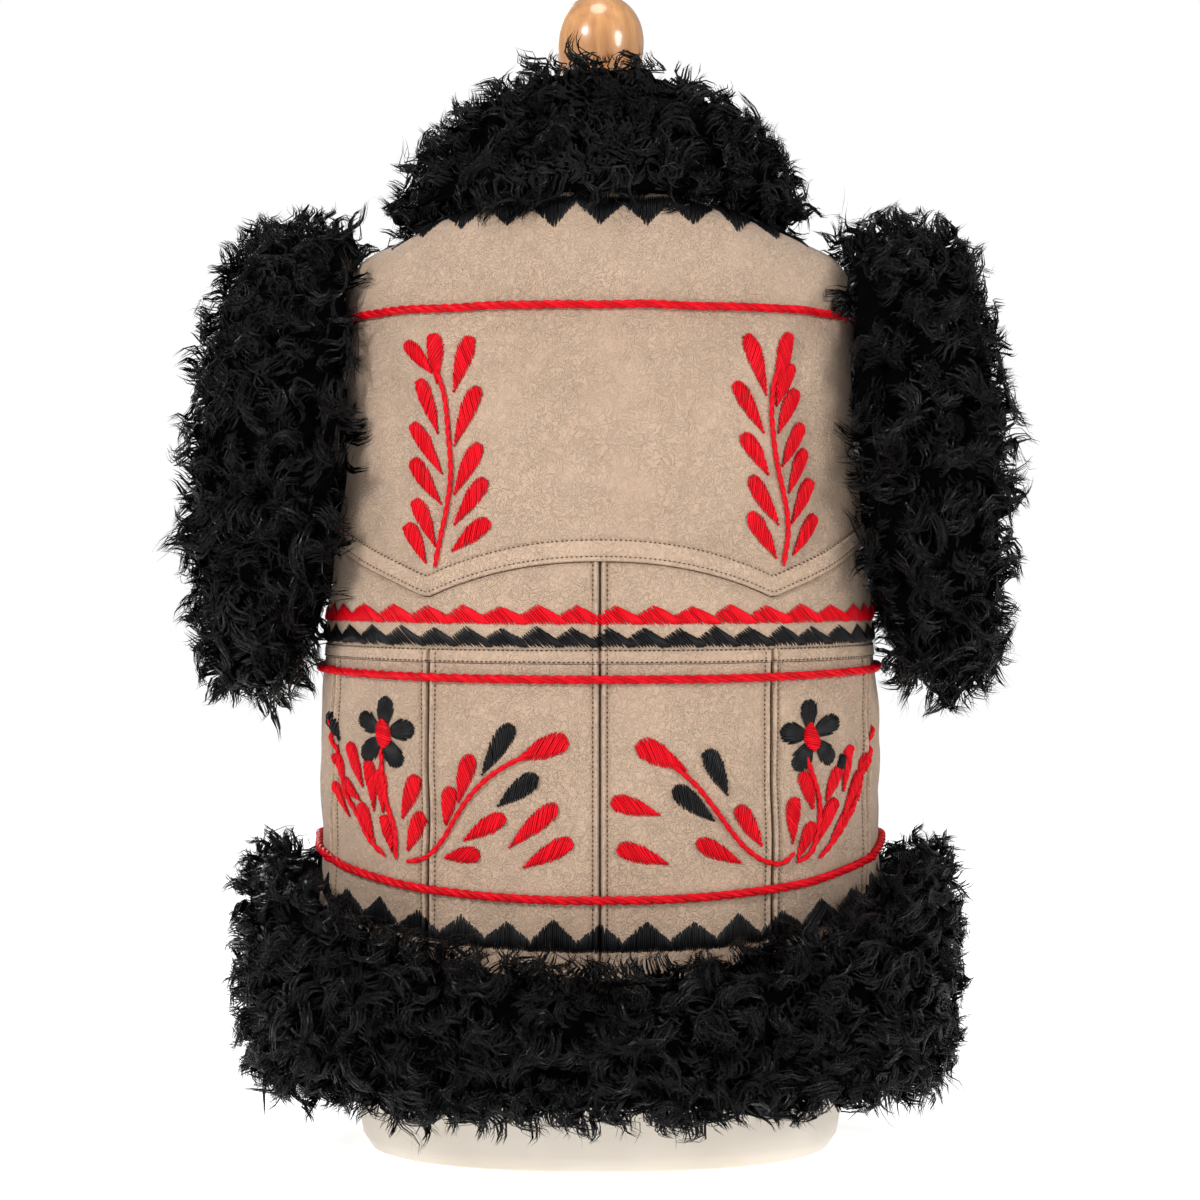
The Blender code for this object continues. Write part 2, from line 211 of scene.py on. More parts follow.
def ring_size(level, column):
    """A ring's size at each level, on a smooth curve through the table."""
    keys = RING["level"]
    values = RING[column]
    start = np.clip(np.searchsorted(keys, level, side="right") - 1, 0, len(keys) - 2)
    end = start + 1
    before = np.maximum(start - 1, 0)
    after = np.minimum(end + 1, len(keys) - 1)
    span = keys[end] - keys[start]
    share = (level - keys[start]) / span
    slope_start = (values[end] - values[before]) / (keys[end] - keys[before])
    slope_end = (values[after] - values[start]) / (keys[after] - keys[start])
    return hermite(share, span, values[start], values[end], slope_start, slope_end)


def signed_power(value, exponent):
    """A power that keeps the sign, which squares off a circle."""
    return np.sign(value) * np.abs(value) ** exponent


def skin_at_turn(turn, level):
    """Points of the skin at turns from the centre back, as an array of rows x, y, z."""
    sine = signed_power(np.sin(turn), 2.0 / SQUARENESS)
    cosine = signed_power(np.cos(turn), 2.0 / SQUARENESS)
    behind = cosine > 0
    depth = np.where(behind, ring_size(level, "back_depth"), ring_size(level, "front_depth"))
    end_z = np.where(behind, level, ring_size(level, "front_z"))
    side_z = ring_size(level, "side_z")
    height = side_z + (end_z - side_z) * cosine * cosine
    return np.stack([ring_size(level, "half_width") * sine, depth * cosine, height], axis=-1)


print("skin of", len(RING_ROWS), "rings, from", RING_ROWS[0][0], "to", RING_ROWS[-1][0], "m")


# %% Pattern coordinates
TAPE_COUNT = 60
TAPE_LEVELS = np.linspace(RING_ROWS[0][0], RING_ROWS[-1][0], TAPE_COUNT)
TAPE_TURNS = np.linspace(0.0, math.pi, 721)
TAPE_STEP = 0.001
TAPE_LENGTH = 0.62
TURN_RADIUS_BEYOND = 0.17


def run_along(points):
    """Distance along a line of points, from 0 at the first one."""
    steps = np.linalg.norm(np.diff(points, axis=0), axis=1)
    return np.concatenate([[0.0], np.cumsum(steps)])


def tape_round(level):
    """Points round half the skin at a level, and how far round the body each one is."""
    points = skin_at_turn(TAPE_TURNS, np.full_like(TAPE_TURNS, level))
    return points, run_along(points[:, :2])


def read_tapes():
    """Turn at each millimetre of a tape laid round the skin, for each of the levels."""
    tapes = []
    lengths = []
    marks = np.arange(0.0, TAPE_LENGTH, TAPE_STEP)
    for level in TAPE_LEVELS:
        _, run = tape_round(level)
        beyond = np.maximum(marks - run[-1], 0.0) / TURN_RADIUS_BEYOND
        tapes.append(np.interp(marks, run, TAPE_TURNS) + beyond)
        lengths.append(run[-1])
    return np.array(tapes), np.array(lengths)


TAPES, HALF_ROUND = read_tapes()


def turn_of(across, level):
    """Turn of a place that is `across` round from the centre back, plus to the left."""
    row = np.clip((level - TAPE_LEVELS[0]) / (TAPE_LEVELS[1] - TAPE_LEVELS[0]),
                  0, len(TAPE_LEVELS) - 1.001)
    low_row = row.astype(int)
    row_share = row - low_row
    mark = np.clip(np.abs(across) / TAPE_STEP, 0, TAPES.shape[1] - 1.001)
    low_mark = mark.astype(int)
    mark_share = mark - low_mark
    lower, upper = (TAPES[tape, low_mark] * (1 - mark_share)
                    + TAPES[tape, low_mark + 1] * mark_share for tape in (low_row, low_row + 1))
    return np.sign(across) * (lower * (1 - row_share) + upper * row_share)


def half_round(level):
    """Distance from the centre back to the centre front at a level."""
    return np.interp(level, TAPE_LEVELS, HALF_ROUND)


def short_of_front(level, short):
    """Pattern distance of a place that stops a little short of the centre front."""
    return float(half_round(level)) - short


def across_of_x(x, level):
    """Pattern distance from the centre back of a place on the back that is x to the left."""
    turn = np.arcsin(np.clip(np.abs(x) / ring_size(np.asarray(level), "half_width"), 0, 1)
                     ** (SQUARENESS / 2.0))
    row = int(np.argmin(np.abs(TAPE_LEVELS - level)))
    return math.copysign(float(np.interp(turn, TAPES[row], np.arange(TAPES.shape[1]) * TAPE_STEP)), x)


def skin(across, level):
    """Skin points for arrays of pattern coordinates."""
    return skin_at_turn(turn_of(across, level), level)


print("half round at the waist", round(float(half_round(0.34)), 3), "m")


# %% [markdown]
# ## Relief of the hide
#
# Real hide is never flat: it sags a little between its seams, and old creases stay in it.
# The relief is a height above the skin, added up from slow waves, from creases placed one
# by one, and from the roll of the hide beside each seam.  Because stitches and
# embroidery read the same relief, they lie on the hide and follow every crease.


# %% Seam lines
HEM_LEVEL = 0.130
WAIST_LEVEL = 0.337
BAND_TOP_LEVEL = 0.3465
NECK_LEVEL = 0.655
YOKE_CENTRE_LEVEL = 0.404
YOKE_POINT_LEVEL = 0.380
YOKE_POINT_ACROSS = 0.1165
YOKE_ARCH_POWER = 2.2
YOKE_SIDE_RISE = 0.40
YOKE_LOW_ROW = 0.0034
YOKE_TOP_ROW = 0.0143
SEAM_READ_LEVEL = 0.25
SKIRT_SEAM_ACROSS = across_of_x(0.113, SEAM_READ_LEVEL)
SIDE_SEAM_ACROSS = across_of_x(0.180, SEAM_READ_LEVEL)
SKIRT_SEAMS = (0.0, SKIRT_SEAM_ACROSS, -SKIRT_SEAM_ACROSS)
SIDE_SEAMS = (SIDE_SEAM_ACROSS, -SIDE_SEAM_ACROSS)


def yoke_edge(across):
    """Level of the yoke's folded edge: an arch between two points that rises to the sides."""
    reach = np.abs(across)
    arch = (YOKE_CENTRE_LEVEL - (YOKE_CENTRE_LEVEL - YOKE_POINT_LEVEL)
            * np.minimum(reach / YOKE_POINT_ACROSS, 1.0) ** YOKE_ARCH_POWER)
    rise = YOKE_POINT_LEVEL + YOKE_SIDE_RISE * (reach - YOKE_POINT_ACROSS)
    return np.where(reach <= YOKE_POINT_ACROSS, arch, rise)


print("skirt seams", round(SKIRT_SEAM_ACROSS, 3), "and side seams", round(SIDE_SEAM_ACROSS, 3),
      "m from the centre back")


# %% Creases and sag
CREASE_COLUMNS = ("across", "level", "length", "angle", "width", "depth")
CREASES = [dict(zip(CREASE_COLUMNS, row)) for row in (
    (-0.150, 0.300, 0.050, 62, 0.0065, -0.0018),
    (-0.163, 0.283, 0.060, 50, 0.0055, -0.0015),
    (-0.176, 0.305, 0.070, 78, 0.0060, 0.0016),
    (-0.190, 0.280, 0.085, 84, 0.0060, -0.0020),
    (-0.205, 0.255, 0.080, 88, 0.0070, 0.0016),
    (0.168, 0.300, 0.050, 112, 0.0060, -0.0014),
    (0.195, 0.285, 0.080, 96, 0.0065, -0.0017),
    (0.215, 0.250, 0.080, 88, 0.0080, 0.0014),
    (-0.060, 0.300, 0.060, 76, 0.0080, -0.0007),
    (0.045, 0.210, 0.070, 12, 0.0090, -0.0006),
    (-0.035, 0.215, 0.060, 168, 0.0080, 0.0006),
    (0.145, 0.520, 0.120, 84, 0.0120, -0.0012),
    (-0.140, 0.510, 0.110, 97, 0.0120, -0.0012),
    (-0.128, 0.455, 0.070, 128, 0.0090, 0.0009),
    (0.120, 0.615, 0.080, 28, 0.0100, -0.0012),
    (-0.115, 0.612, 0.080, 150, 0.0100, -0.0012),
    (-0.150, 0.590, 0.060, 140, 0.0070, 0.0010),
    (0.060, 0.440, 0.080, 160, 0.0120, 0.0007),
    (-0.050, 0.470, 0.090, 25, 0.0140, -0.0006),
    (0.300, 0.300, 0.070, 70, 0.0080, -0.0016),
    (0.330, 0.270, 0.090, 95, 0.0090, 0.0014),
    (0.430, 0.295, 0.060, 115, 0.0070, -0.0014),
    (-0.300, 0.305, 0.060, 110, 0.0070, -0.0016),
    (-0.345, 0.265, 0.090, 84, 0.0090, 0.0014),
    (-0.450, 0.300, 0.060, 66, 0.0070, -0.0014),
    (0.420, 0.520, 0.110, 100, 0.0120, -0.0013),
    (-0.415, 0.515, 0.110, 82, 0.0120, -0.0013),
    (0.380, 0.420, 0.080, 60, 0.0090, -0.0013),
    (-0.380, 0.420, 0.080, 120, 0.0090, -0.0013),
)]
CREASE_GAIN = 1.35
CREASE_BEND = 0.08
SAG_HEIGHT = 0.0013


def bell(distance, width):
    """A soft swelling: 1 in its middle and nearly 0 at two widths away."""
    return np.exp(-(distance / width) ** 2)


def crease_height(across, level):
    """Sum of the listed creases, each a soft trough or ridge with fading ends."""
    height = np.zeros_like(across)
    for crease in CREASES:
        angle = math.radians(crease["angle"])
        right = across - crease["across"]
        up = level - crease["level"]
        along = right * math.cos(angle) + up * math.sin(angle)
        beside = -right * math.sin(angle) + up * math.cos(angle)
        beside = beside + CREASE_BEND * crease["length"] * np.sin(along / crease["length"] * 3.0)
        fade = np.exp(-(2.0 * along / crease["length"]) ** 4)
        height += CREASE_GAIN * crease["depth"] * fade * bell(beside, crease["width"])
    return height


def sag_height(across, level):
    """Slow waves that keep the hide from looking machined."""
    return SAG_HEIGHT * (np.sin(across * 41 + 1.3) * np.sin(level * 37 + 0.4)
                         + 0.6 * np.sin(across * 73 - level * 52 + 2.1)
                         + 0.4 * np.sin(across * 118 + level * 97))


print("creases placed by hand", len(CREASES))


# %% Seam rolls and folded edges
SEAM_ROW_OFFSET = 0.0047
SEAM_PROFILE_COLUMNS = ("offset", "width", "height")
SEAM_PROFILE = [dict(zip(SEAM_PROFILE_COLUMNS, row)) for row in (
    (0.0, 0.0010, -0.0024),
    (0.0025, 0.0014, 0.0017),
    (SEAM_ROW_OFFSET, 0.0009, -0.0009),
)]
BACK_REACH = 0.24
YOKE_BAND_RISE = 0.0019
BAND_SWELL = 0.0010


def seam_roll(distance):
    """Profile beside an opened seam: a groove, two rounded ridges and two stitched dips."""
    gap = np.abs(distance)
    return sum(part["height"] * bell(gap - part["offset"], part["width"]) for part in SEAM_PROFILE)


def smooth_step(value, low, high):
    """0 below low, 1 above high, and a soft slope between."""
    share = np.clip((value - low) / (high - low), 0.0, 1.0)
    return share * share * (3 - 2 * share)


def yoke_relief(above_edge):
    """The doubled band along the yoke's edge with its stitched dips, and the step below it."""
    band = (YOKE_BAND_RISE * smooth_step(above_edge, -0.0002, 0.0012)
            * (1 - smooth_step(above_edge, YOKE_TOP_ROW - 0.0006, YOKE_TOP_ROW + 0.0012)))
    band -= 0.0011 * bell(above_edge - YOKE_LOW_ROW, 0.0009)
    band -= 0.0012 * bell(above_edge - YOKE_TOP_ROW, 0.0010)
    return np.where(above_edge > 0, band, -0.0007 * bell(above_edge, 0.0020))


def waistband_relief(level):
    """The swell of the waistband, and the ledge of the hide that meets it from above."""
    share = (level - WAIST_LEVEL) / (BAND_TOP_LEVEL - WAIST_LEVEL)
    swell = BAND_SWELL * np.clip(4 * share * (1 - share), 0, 1) ** 0.5
    ledge = 0.0008 - 0.0012 * bell(level - BAND_TOP_LEVEL - 0.0008, 0.0010)
    above = ledge * bell(level - BAND_TOP_LEVEL, 0.030)
    return np.where(level > BAND_TOP_LEVEL, above, np.where(level < WAIST_LEVEL, 0.0, swell))


# %% The hide's outer face
PROBE_STEP = 0.0006


def edge_relief(across, level):
    """Relief that the maker's seams and folded edges give the hide."""
    above_waist = level > BAND_TOP_LEVEL
    above_edge = level - yoke_edge(across)
    height = np.where(above_waist & (np.abs(across) < BACK_REACH), yoke_relief(above_edge), 0.0)
    height += np.where(above_waist & (above_edge <= 0), seam_roll(across), 0.0)
    for seam in SKIRT_SEAMS:
        height += np.where(above_waist, 0.0, seam_roll(across - seam))
    for seam in SIDE_SEAMS:
        height += np.where(level < WAIST_LEVEL, seam_roll(across - seam), 0.0)
    return height + waistband_relief(level)


def cloth(across, level, lift=0.0):
    """Points on the outer face of the hide, lifted along the true normal, and the normals."""
    across = np.asarray(across, float)
    level = np.asarray(level, float)
    point = skin(across, level)
    right = skin(across + PROBE_STEP, level) - skin(across - PROBE_STEP, level)
    up = skin(across, level + PROBE_STEP) - skin(across, level - PROBE_STEP)
    normal = np.cross(up, right)
    normal /= np.linalg.norm(normal, axis=-1, keepdims=True) + 1e-12
    height = sag_height(across, level) + crease_height(across, level) + edge_relief(across, level)
    return point + normal * (height + lift)[..., None], normal


check_point, check_normal = cloth(np.array([0.0]), np.array([0.3]))
print("centre back at level 0.3:", check_point.round(4), "facing", check_normal.round(2))


# %% [markdown]
# ## Building meshes from arrays
#
# Thousands of stitches and curls are too many to add one by one.  They are worked out as
# arrays of corners and faces and handed to Blender in one go, which takes a second where
# single objects would take many minutes.  The helper below makes such a mesh and says how
# many triangles it holds, so that the count stays in view.


# %% Mesh helper
triangle_total = 0


def build_piece(name, corners, quads, material, corner_uvs=None):
    """One mesh object from an (n, 3) array of corners and an (m, 4) array of faces."""
    global triangle_total
    mesh = bpy.data.meshes.new(name)
    mesh.vertices.add(len(corners))
    mesh.vertices.foreach_set("co", np.asarray(corners, np.float32).ravel())
    mesh.loops.add(quads.size)
    mesh.loops.foreach_set("vertex_index", np.asarray(quads, np.int32).ravel())
    mesh.polygons.add(len(quads))
    mesh.polygons.foreach_set("loop_start", np.arange(0, quads.size, 4, dtype=np.int32))
    mesh.polygons.foreach_set("loop_total", np.full(len(quads), 4, np.int32))
    mesh.update(calc_edges=True)
    mesh.polygons.foreach_set("use_smooth", np.ones(len(quads), bool))
    if corner_uvs is not None:
        layer = mesh.uv_layers.new(name="strand")
        layer.data.foreach_set("uv", np.asarray(corner_uvs, np.float32)[quads.ravel()].ravel())
    mesh.materials.append(material)
    triangle_total += 2 * len(quads)
    print(f"{name}: {2 * len(quads)} triangles")
    return add_object(name, mesh)


def settle(piece, stands_for=None):
    if stands_for:
        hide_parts(stands_for)
    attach(piece, "root")


def strip_quads(count, rows, columns):
    """Faces of `count` equal open grids, each of rows by columns corners."""
    row, column = np.meshgrid(np.arange(rows - 1), np.arange(columns - 1), indexing="ij")
    first = (row * columns + column).ravel()
    one = np.stack([first, first + 1, first + columns + 1, first + columns], axis=1)
    return (one[None] + (np.arange(count) * rows * columns)[:, None, None]).reshape(-1, 4)


def tube_quads(count, rows, sides):
    """Faces of `count` equal tubes, each of rows by sides corners, closed round."""
    row, side = np.meshgrid(np.arange(rows - 1), np.arange(sides), indexing="ij")
    here = row * sides + side
    beside = row * sides + (side + 1) % sides
    one = np.stack([here.ravel(), beside.ravel(), (beside + sides).ravel(),
                    (here + sides).ravel()], axis=1)
    return (one[None] + (np.arange(count) * rows * sides)[:, None, None]).reshape(-1, 4)


# %% [markdown]
# ## Suede
#
# The hide is brushed suede: matt, warm tan, with a fine worm-like grain pressed into it,
# slow patches where the nap lies the other way, and small darker marks.  The grain is a
# noise bent by another noise and read in narrow bands, which gives short curly lines.  A
# little sheen stands for the nap, which brightens where the hide turns away.


# %% Node helpers
def new_material(name, roughness, specular, sheen=0.0):
    """A Principled material; constants sit on the shader's own sockets."""
    material = bpy.data.materials.new(name)
    material.use_nodes = True
    shader = material.node_tree.nodes["Principled BSDF"]
    shader.inputs["Roughness"].default_value = roughness
    shader.inputs["Sheen Weight"].default_value = sheen
    shader.inputs["Specular IOR Level"].default_value = specular
    return material, material.node_tree, shader


def add_node(tree, kind, **settings):
    node = tree.nodes.new(kind)
    for key, value in settings.items():
        setattr(node, key, value)
    return node


def object_place(tree):
    """Place on the piece in metres, which patterns are read from."""
    return add_node(tree, "ShaderNodeTexCoord").outputs["Object"]


def strand_values(tree):
    """The two values that a mesh from arrays carries at each corner."""
    layer = add_node(tree, "ShaderNodeUVMap", uv_map="strand")
    split = add_node(tree, "ShaderNodeSeparateXYZ")
    tree.links.new(layer.outputs["UV"], split.inputs[0])
    return split.outputs["X"], split.outputs["Y"]


def noise(tree, vector, scale, detail=3.0, roughness=0.5, distortion=0.0):
    node = add_node(tree, "ShaderNodeTexNoise")
    node.inputs["Scale"].default_value = scale
    node.inputs["Detail"].default_value = detail
    node.inputs["Roughness"].default_value = roughness
    node.inputs["Distortion"].default_value = distortion
    tree.links.new(vector, node.inputs["Vector"])
    return node.outputs["Fac"]


def ramp(tree, value, stops):
    """Colour ramp from (position, colour) pairs, where a plain number stands for a grey."""
    node = add_node(tree, "ShaderNodeValToRGB")
    elements = node.color_ramp.elements
    while len(elements) < len(stops):
        elements.new(0.5)
    for element, (position, color) in zip(elements, stops):
        element.position = position
        element.color = (*color, 1.0) if isinstance(color, tuple) else (color, color, color, 1.0)
    tree.links.new(value, node.inputs["Fac"])
    return node.outputs["Color"]


def bump(tree, height, strength, distance, before=None):
    node = add_node(tree, "ShaderNodeBump")
    node.inputs["Strength"].default_value = strength
    node.inputs["Distance"].default_value = distance
    tree.links.new(height, node.inputs["Height"])
    if before is not None:
        tree.links.new(before, node.inputs["Normal"])
    return node.outputs["Normal"]


def feed(tree, node, values):
    """Set or link a node's sockets, given as a number, a colour or another node's output."""
    for socket, value in values.items():
        if isinstance(value, (int, float)):
            node.inputs[socket].default_value = value
        elif isinstance(value, tuple):
            node.inputs[socket].default_value = (*value, 1.0)
        else:
            tree.links.new(value, node.inputs[socket])


def mix_color(tree, factor, first, second, blend_type="MIX"):
    """Mix of two colours; the numbers are the colour sockets of the Mix node."""
    node = add_node(tree, "ShaderNodeMix", data_type="RGBA", blend_type=blend_type)
    feed(tree, node, {0: factor, 6: first, 7: second})
    return node.outputs[2]


def math_node(tree, operation, first, second=0.0):
    node = add_node(tree, "ShaderNodeMath", operation=operation)
    feed(tree, node, {0: first, 1: second})
    return node.outputs[0]


# %% Suede material
def worm_lines(tree, place, scale, width):
    """Thin curly lines where a bent noise crosses its middle value."""
    bent = noise(tree, place, scale, detail=1.0, roughness=0.4, distortion=1.3)
    away = math_node(tree, "ABSOLUTE", math_node(tree, "SUBTRACT", bent, 0.5))
    return ramp(tree, away, [(0.0, 1.0), (width, 0.0)])


def make_suede():
    material, tree, shader = new_material("tan_suede", 0.90, 0.18, sheen=0.15)
    place = object_place(tree)
    relief, _ = strand_values(tree)
    patches = noise(tree, place, 11.0, detail=4.0, roughness=0.6)
    cloudy = noise(tree, place, 60.0, roughness=0.6)
    tan = ramp(tree, patches, [(0.30, (0.425, 0.299, 0.211)), (0.72, (0.537, 0.387, 0.282))])
    tan = mix_color(tree, math_node(tree, "MULTIPLY", cloudy, 0.50), tan, (0.360, 0.248, 0.170))
    lines = math_node(tree, "MAXIMUM", worm_lines(tree, place, 170.0, 0.050),
                      worm_lines(tree, place, 240.0, 0.040))
    shown = ramp(tree, noise(tree, place, 30.0, detail=2.0), [(0.30, 0.45), (0.55, 1.0)])
    lines = math_node(tree, "MULTIPLY", lines, shown)
    tan = mix_color(tree, math_node(tree, "MULTIPLY", lines, 0.30), tan, (0.620, 0.470, 0.350))
    # Painted shade darkens the hide in the seam grooves and below the yoke's folded edge, and a painted
    # highlight lightens the rolled ridges beside the seams.
    seam_shade_and_highlight_tint = ramp(tree, relief, [(0.05, (0.44, 0.40, 0.36)), (0.38, (0.76, 0.74, 0.71)),
                                  (0.50, 0.91), (0.78, 1.0)])
    tan = mix_color(tree, 1.0, tan, seam_shade_and_highlight_tint, "MULTIPLY")
    tree.links.new(tan, shader.inputs["Base Color"])
    grain = bump(tree, lines, 0.80, 0.0008)
    grain = bump(tree, noise(tree, place, 1300.0, detail=2.0), 0.30, 0.0003, grain)
    grain = bump(tree, cloudy, 0.35, 0.0024, grain)
    tree.links.new(grain, shader.inputs["Normal"])
    return material


SUEDE = make_suede()
print("suede made of", len(SUEDE.node_tree.nodes), "nodes")


# %% [markdown]
# ## The panels
#
# Each panel is cut from one piece of hide, so each is its own thin shell.  A shell starts
# as a grid of corners between two side lines and two levels.  The grid lines crowd
# together near the edges, where the hide rolls into the seam, and stay wide apart in the
# middle.  A Solidify modifier then gives it the hide's two millimetres.


# %% Panel grid
SEAM_GAP = 0.0003
EDGE_OFFSETS = np.array((0.0, 0.0005, 0.0011, 0.0018, 0.0025, 0.0034, 0.0042, 0.0048, 0.0055, 0.0080))
NARROW_CELL = 0.0012
CLEAR_OF_EXTRA = 0.0006
SAMPLE_ACROSS = 0.05


def crowded_marks(length, cell, extra=()):
    """Shares from 0 to 1 along a length, close at both ends and a cell apart between."""
    deepest = EDGE_OFFSETS[-1]
    if length < 2.6 * deepest:
        marks = np.linspace(0.0, length, max(4, int(length / NARROW_CELL)))
    else:
        middle = np.linspace(deepest, length - deepest, max(2, int(length / cell)))
        marks = np.concatenate([EDGE_OFFSETS[:-1], middle, (length - EDGE_OFFSETS[:-1])[::-1]])
    if len(extra):
        gaps = np.abs(marks[:, None] - np.asarray(extra)[None, :]).min(axis=1)
        ends = (marks == marks[0]) | (marks == marks[-1])
        marks = np.sort(np.concatenate([marks[(gaps > CLEAR_OF_EXTRA) | ends], extra]))
    return marks / length


def read_side(side, place):
    """Where a side of a panel is; it is a function of the other coordinate or a number."""
    return side(place) if callable(side) else side


def panel_marks(left, right, bottom, top, cell, extra_across=(), extra_level=()):
    """Pattern coordinates of a panel's grid, found row by row because its edges curve."""
    low_level = read_side(bottom, SAMPLE_ACROSS)
    high_level = read_side(top, SAMPLE_ACROSS)
    middle_level = 0.5 * (low_level + high_level)
    width = abs(read_side(right, middle_level) - read_side(left, middle_level))
    height = high_level - low_level
    across_marks = crowded_marks(width, cell, extra_across)
    level_marks = crowded_marks(height, cell, extra_level)
    across = np.zeros((len(level_marks), len(across_marks)))
    level = np.zeros_like(across)
    for row, mark in enumerate(level_marks):
        row_level = low_level + height * mark
        for _ in range(3):
            start = read_side(left, row_level)
            end = read_side(right, row_level)
            across[row] = start + (end - start) * across_marks
            low = np.array([read_side(bottom, place) for place in across[row]])
            high = np.array([read_side(top, place) for place in across[row]])
            level[row] = low + (high - low) * mark
            row_level = float(level[row].mean())
    return across, level


# %% Panel shell
HIDE_THICKNESS = 0.0019
SHADE_RELIEF = 0.0050


def grid_area(grid):
    """Area of a grid of points, as two triangles to a cell."""
    area = 0.0
    for corner, along, beside in ((grid[:-1, :-1], grid[1:, :-1], grid[:-1, 1:]),
                                  (grid[1:, 1:], grid[:-1, 1:], grid[1:, :-1])):
        area += 0.5 * np.linalg.norm(np.cross(along - corner, beside - corner), axis=-1).sum()
    return float(area)


def make_panel(name, left, right, bottom, top, cell, **extra):
    """One panel's shell, with the width, length and area that it is cut to."""
    across, level = panel_marks(left, right, bottom, top, cell, **extra)
    rows, columns = across.shape
    points, normals = cloth(across.ravel(), level.ravel())
    quads = strip_quads(1, rows, columns)
    first = points[quads[0]]
    if np.cross(first[1] - first[0], first[3] - first[0]) @ normals[0] < 0:
        quads = quads[:, ::-1]
    # The relief of the seams and edges is stored in the mesh for the suede's painted shade in the
    # grooves and painted highlight on the ridges.
    seam_relief_for_shade = np.clip(0.5 + edge_relief(across, level).ravel() / SHADE_RELIEF, 0.0, 1.0)
    piece = build_piece(name, points, quads, SUEDE, np.stack([seam_relief_for_shade, seam_relief_for_shade], axis=1))
    wall = piece.modifiers.new("hide", "SOLIDIFY")
    wall.thickness = HIDE_THICKNESS
    wall.offset = -1.0
    wall.use_even_offset = False
    width = float(np.abs(across[:, -1] - across[:, 0]).max())
    length = float((level[-1] - level[0]).max())
    return piece, width, length, grid_area(points.reshape(rows, columns, 3))


def cut_panel(name, node, *sides, **extra):
    piece, width, length, area = make_panel(name, *sides, **extra)
    settle(piece, node)


# %% Sides of the panels
ARMHOLE_CENTRE_Z = 0.4785
ARMHOLE_HALF_DEPTH = 0.054
ARMHOLE_HALF_HEIGHT = 0.108
FRONT_EDGE_SHORT = 0.0025
HALF_GAP = 0.5 * SEAM_GAP


def armhole_edge(level, front):
    """Pattern distance of the armhole's edge from the centre back."""
    points, run = tape_round(level)
    height = (float(ring_size(np.array(level), "side_z")) - ARMHOLE_CENTRE_Z) / ARMHOLE_HALF_HEIGHT
    edge_y = ARMHOLE_HALF_DEPTH * math.sqrt(max(0.0, 1.0 - height * height))
    wanted = -edge_y if front else edge_y
    return float(np.interp(-wanted, -points[:, 1], run))


def side_back(level):
    return armhole_edge(level, False) - HALF_GAP


def side_front(level):
    return armhole_edge(level, True) + HALF_GAP


def front_line(level):
    return short_of_front(level, FRONT_EDGE_SHORT)


def above_yoke_seam(across):
    return float(yoke_edge(across)) + HALF_GAP


def below_yoke_seam(across):
    return float(yoke_edge(across)) - HALF_GAP


def mirror(side):
    """The same side on the other half of the body."""
    return (lambda value: -side(value)) if callable(side) else -side


print("armhole edges at mid height", round(side_back(0.48), 3), round(side_front(0.48), 3), "m")


# %% The yoke and the paired panels
BACK_CELL = 0.0050
FRONT_CELL = 0.0080
BAND_LOW = WAIST_LEVEL + HALF_GAP
BAND_HIGH = BAND_TOP_LEVEL - HALF_GAP
OVER_BAND = BAND_TOP_LEVEL + HALF_GAP
UNDER_BAND = WAIST_LEVEL - HALF_GAP
LEFT_PANELS = (
    ("back_waist", HALF_GAP, side_back, OVER_BAND, below_yoke_seam, BACK_CELL),
    ("front", side_front, front_line, OVER_BAND, NECK_LEVEL, FRONT_CELL),
    ("back_skirt", HALF_GAP, SKIRT_SEAM_ACROSS - HALF_GAP, HEM_LEVEL, UNDER_BAND, BACK_CELL),
    ("side_skirt", SKIRT_SEAM_ACROSS + HALF_GAP, SIDE_SEAM_ACROSS - HALF_GAP, HEM_LEVEL, UNDER_BAND,
     BACK_CELL),
    ("front_skirt", SIDE_SEAM_ACROSS + HALF_GAP, front_line, HEM_LEVEL, UNDER_BAND, FRONT_CELL),
)


def both_ways(steps):
    """Offsets to either side of a line, and the line itself."""
    steps = np.array(steps)
    return np.concatenate([-steps[::-1], [0.0], steps])


cut_panel("back_yoke_hide", "back_yoke", mirror(side_back), side_back, above_yoke_seam, NECK_LEVEL,
          BACK_CELL, extra_level=YOKE_TOP_ROW + both_ways((0.0008, 0.0016, 0.0030)))
for hand in ("left", "right"):
    for stem, inner, outer, bottom, top, cell in LEFT_PANELS:
        if hand == "right":
            inner = mirror(inner)
            outer = mirror(outer)
        cut_panel(f"{stem}_hide_{hand}", f"{stem}_{hand}", inner, outer, bottom, top, cell)


# %% The waistband
BAND_CELL = 0.0060
BAND_SEAM_STEPS = both_ways((0.0007, 0.0015, 0.0025, 0.0036, 0.0047, 0.0060))
band_reach = front_line(0.5 * (WAIST_LEVEL + BAND_TOP_LEVEL))
cut_panel("waistband_hide", "waistband", mirror(front_line), front_line, BAND_LOW, BAND_HIGH,
          BAND_CELL, extra_across=np.concatenate([band_reach + seam + BAND_SEAM_STEPS
                                                  for seam in SKIRT_SEAMS]))


# %% [markdown]
# ## Silk thread
#
# All the embroidery is one kind of mark: a short, slightly fat thread laid on the hide.
# Each stitch here is a low arched strip.  It starts in the hide, swells, and goes back
# into the hide, and its arch catches the light on one side, as twisted silk does.


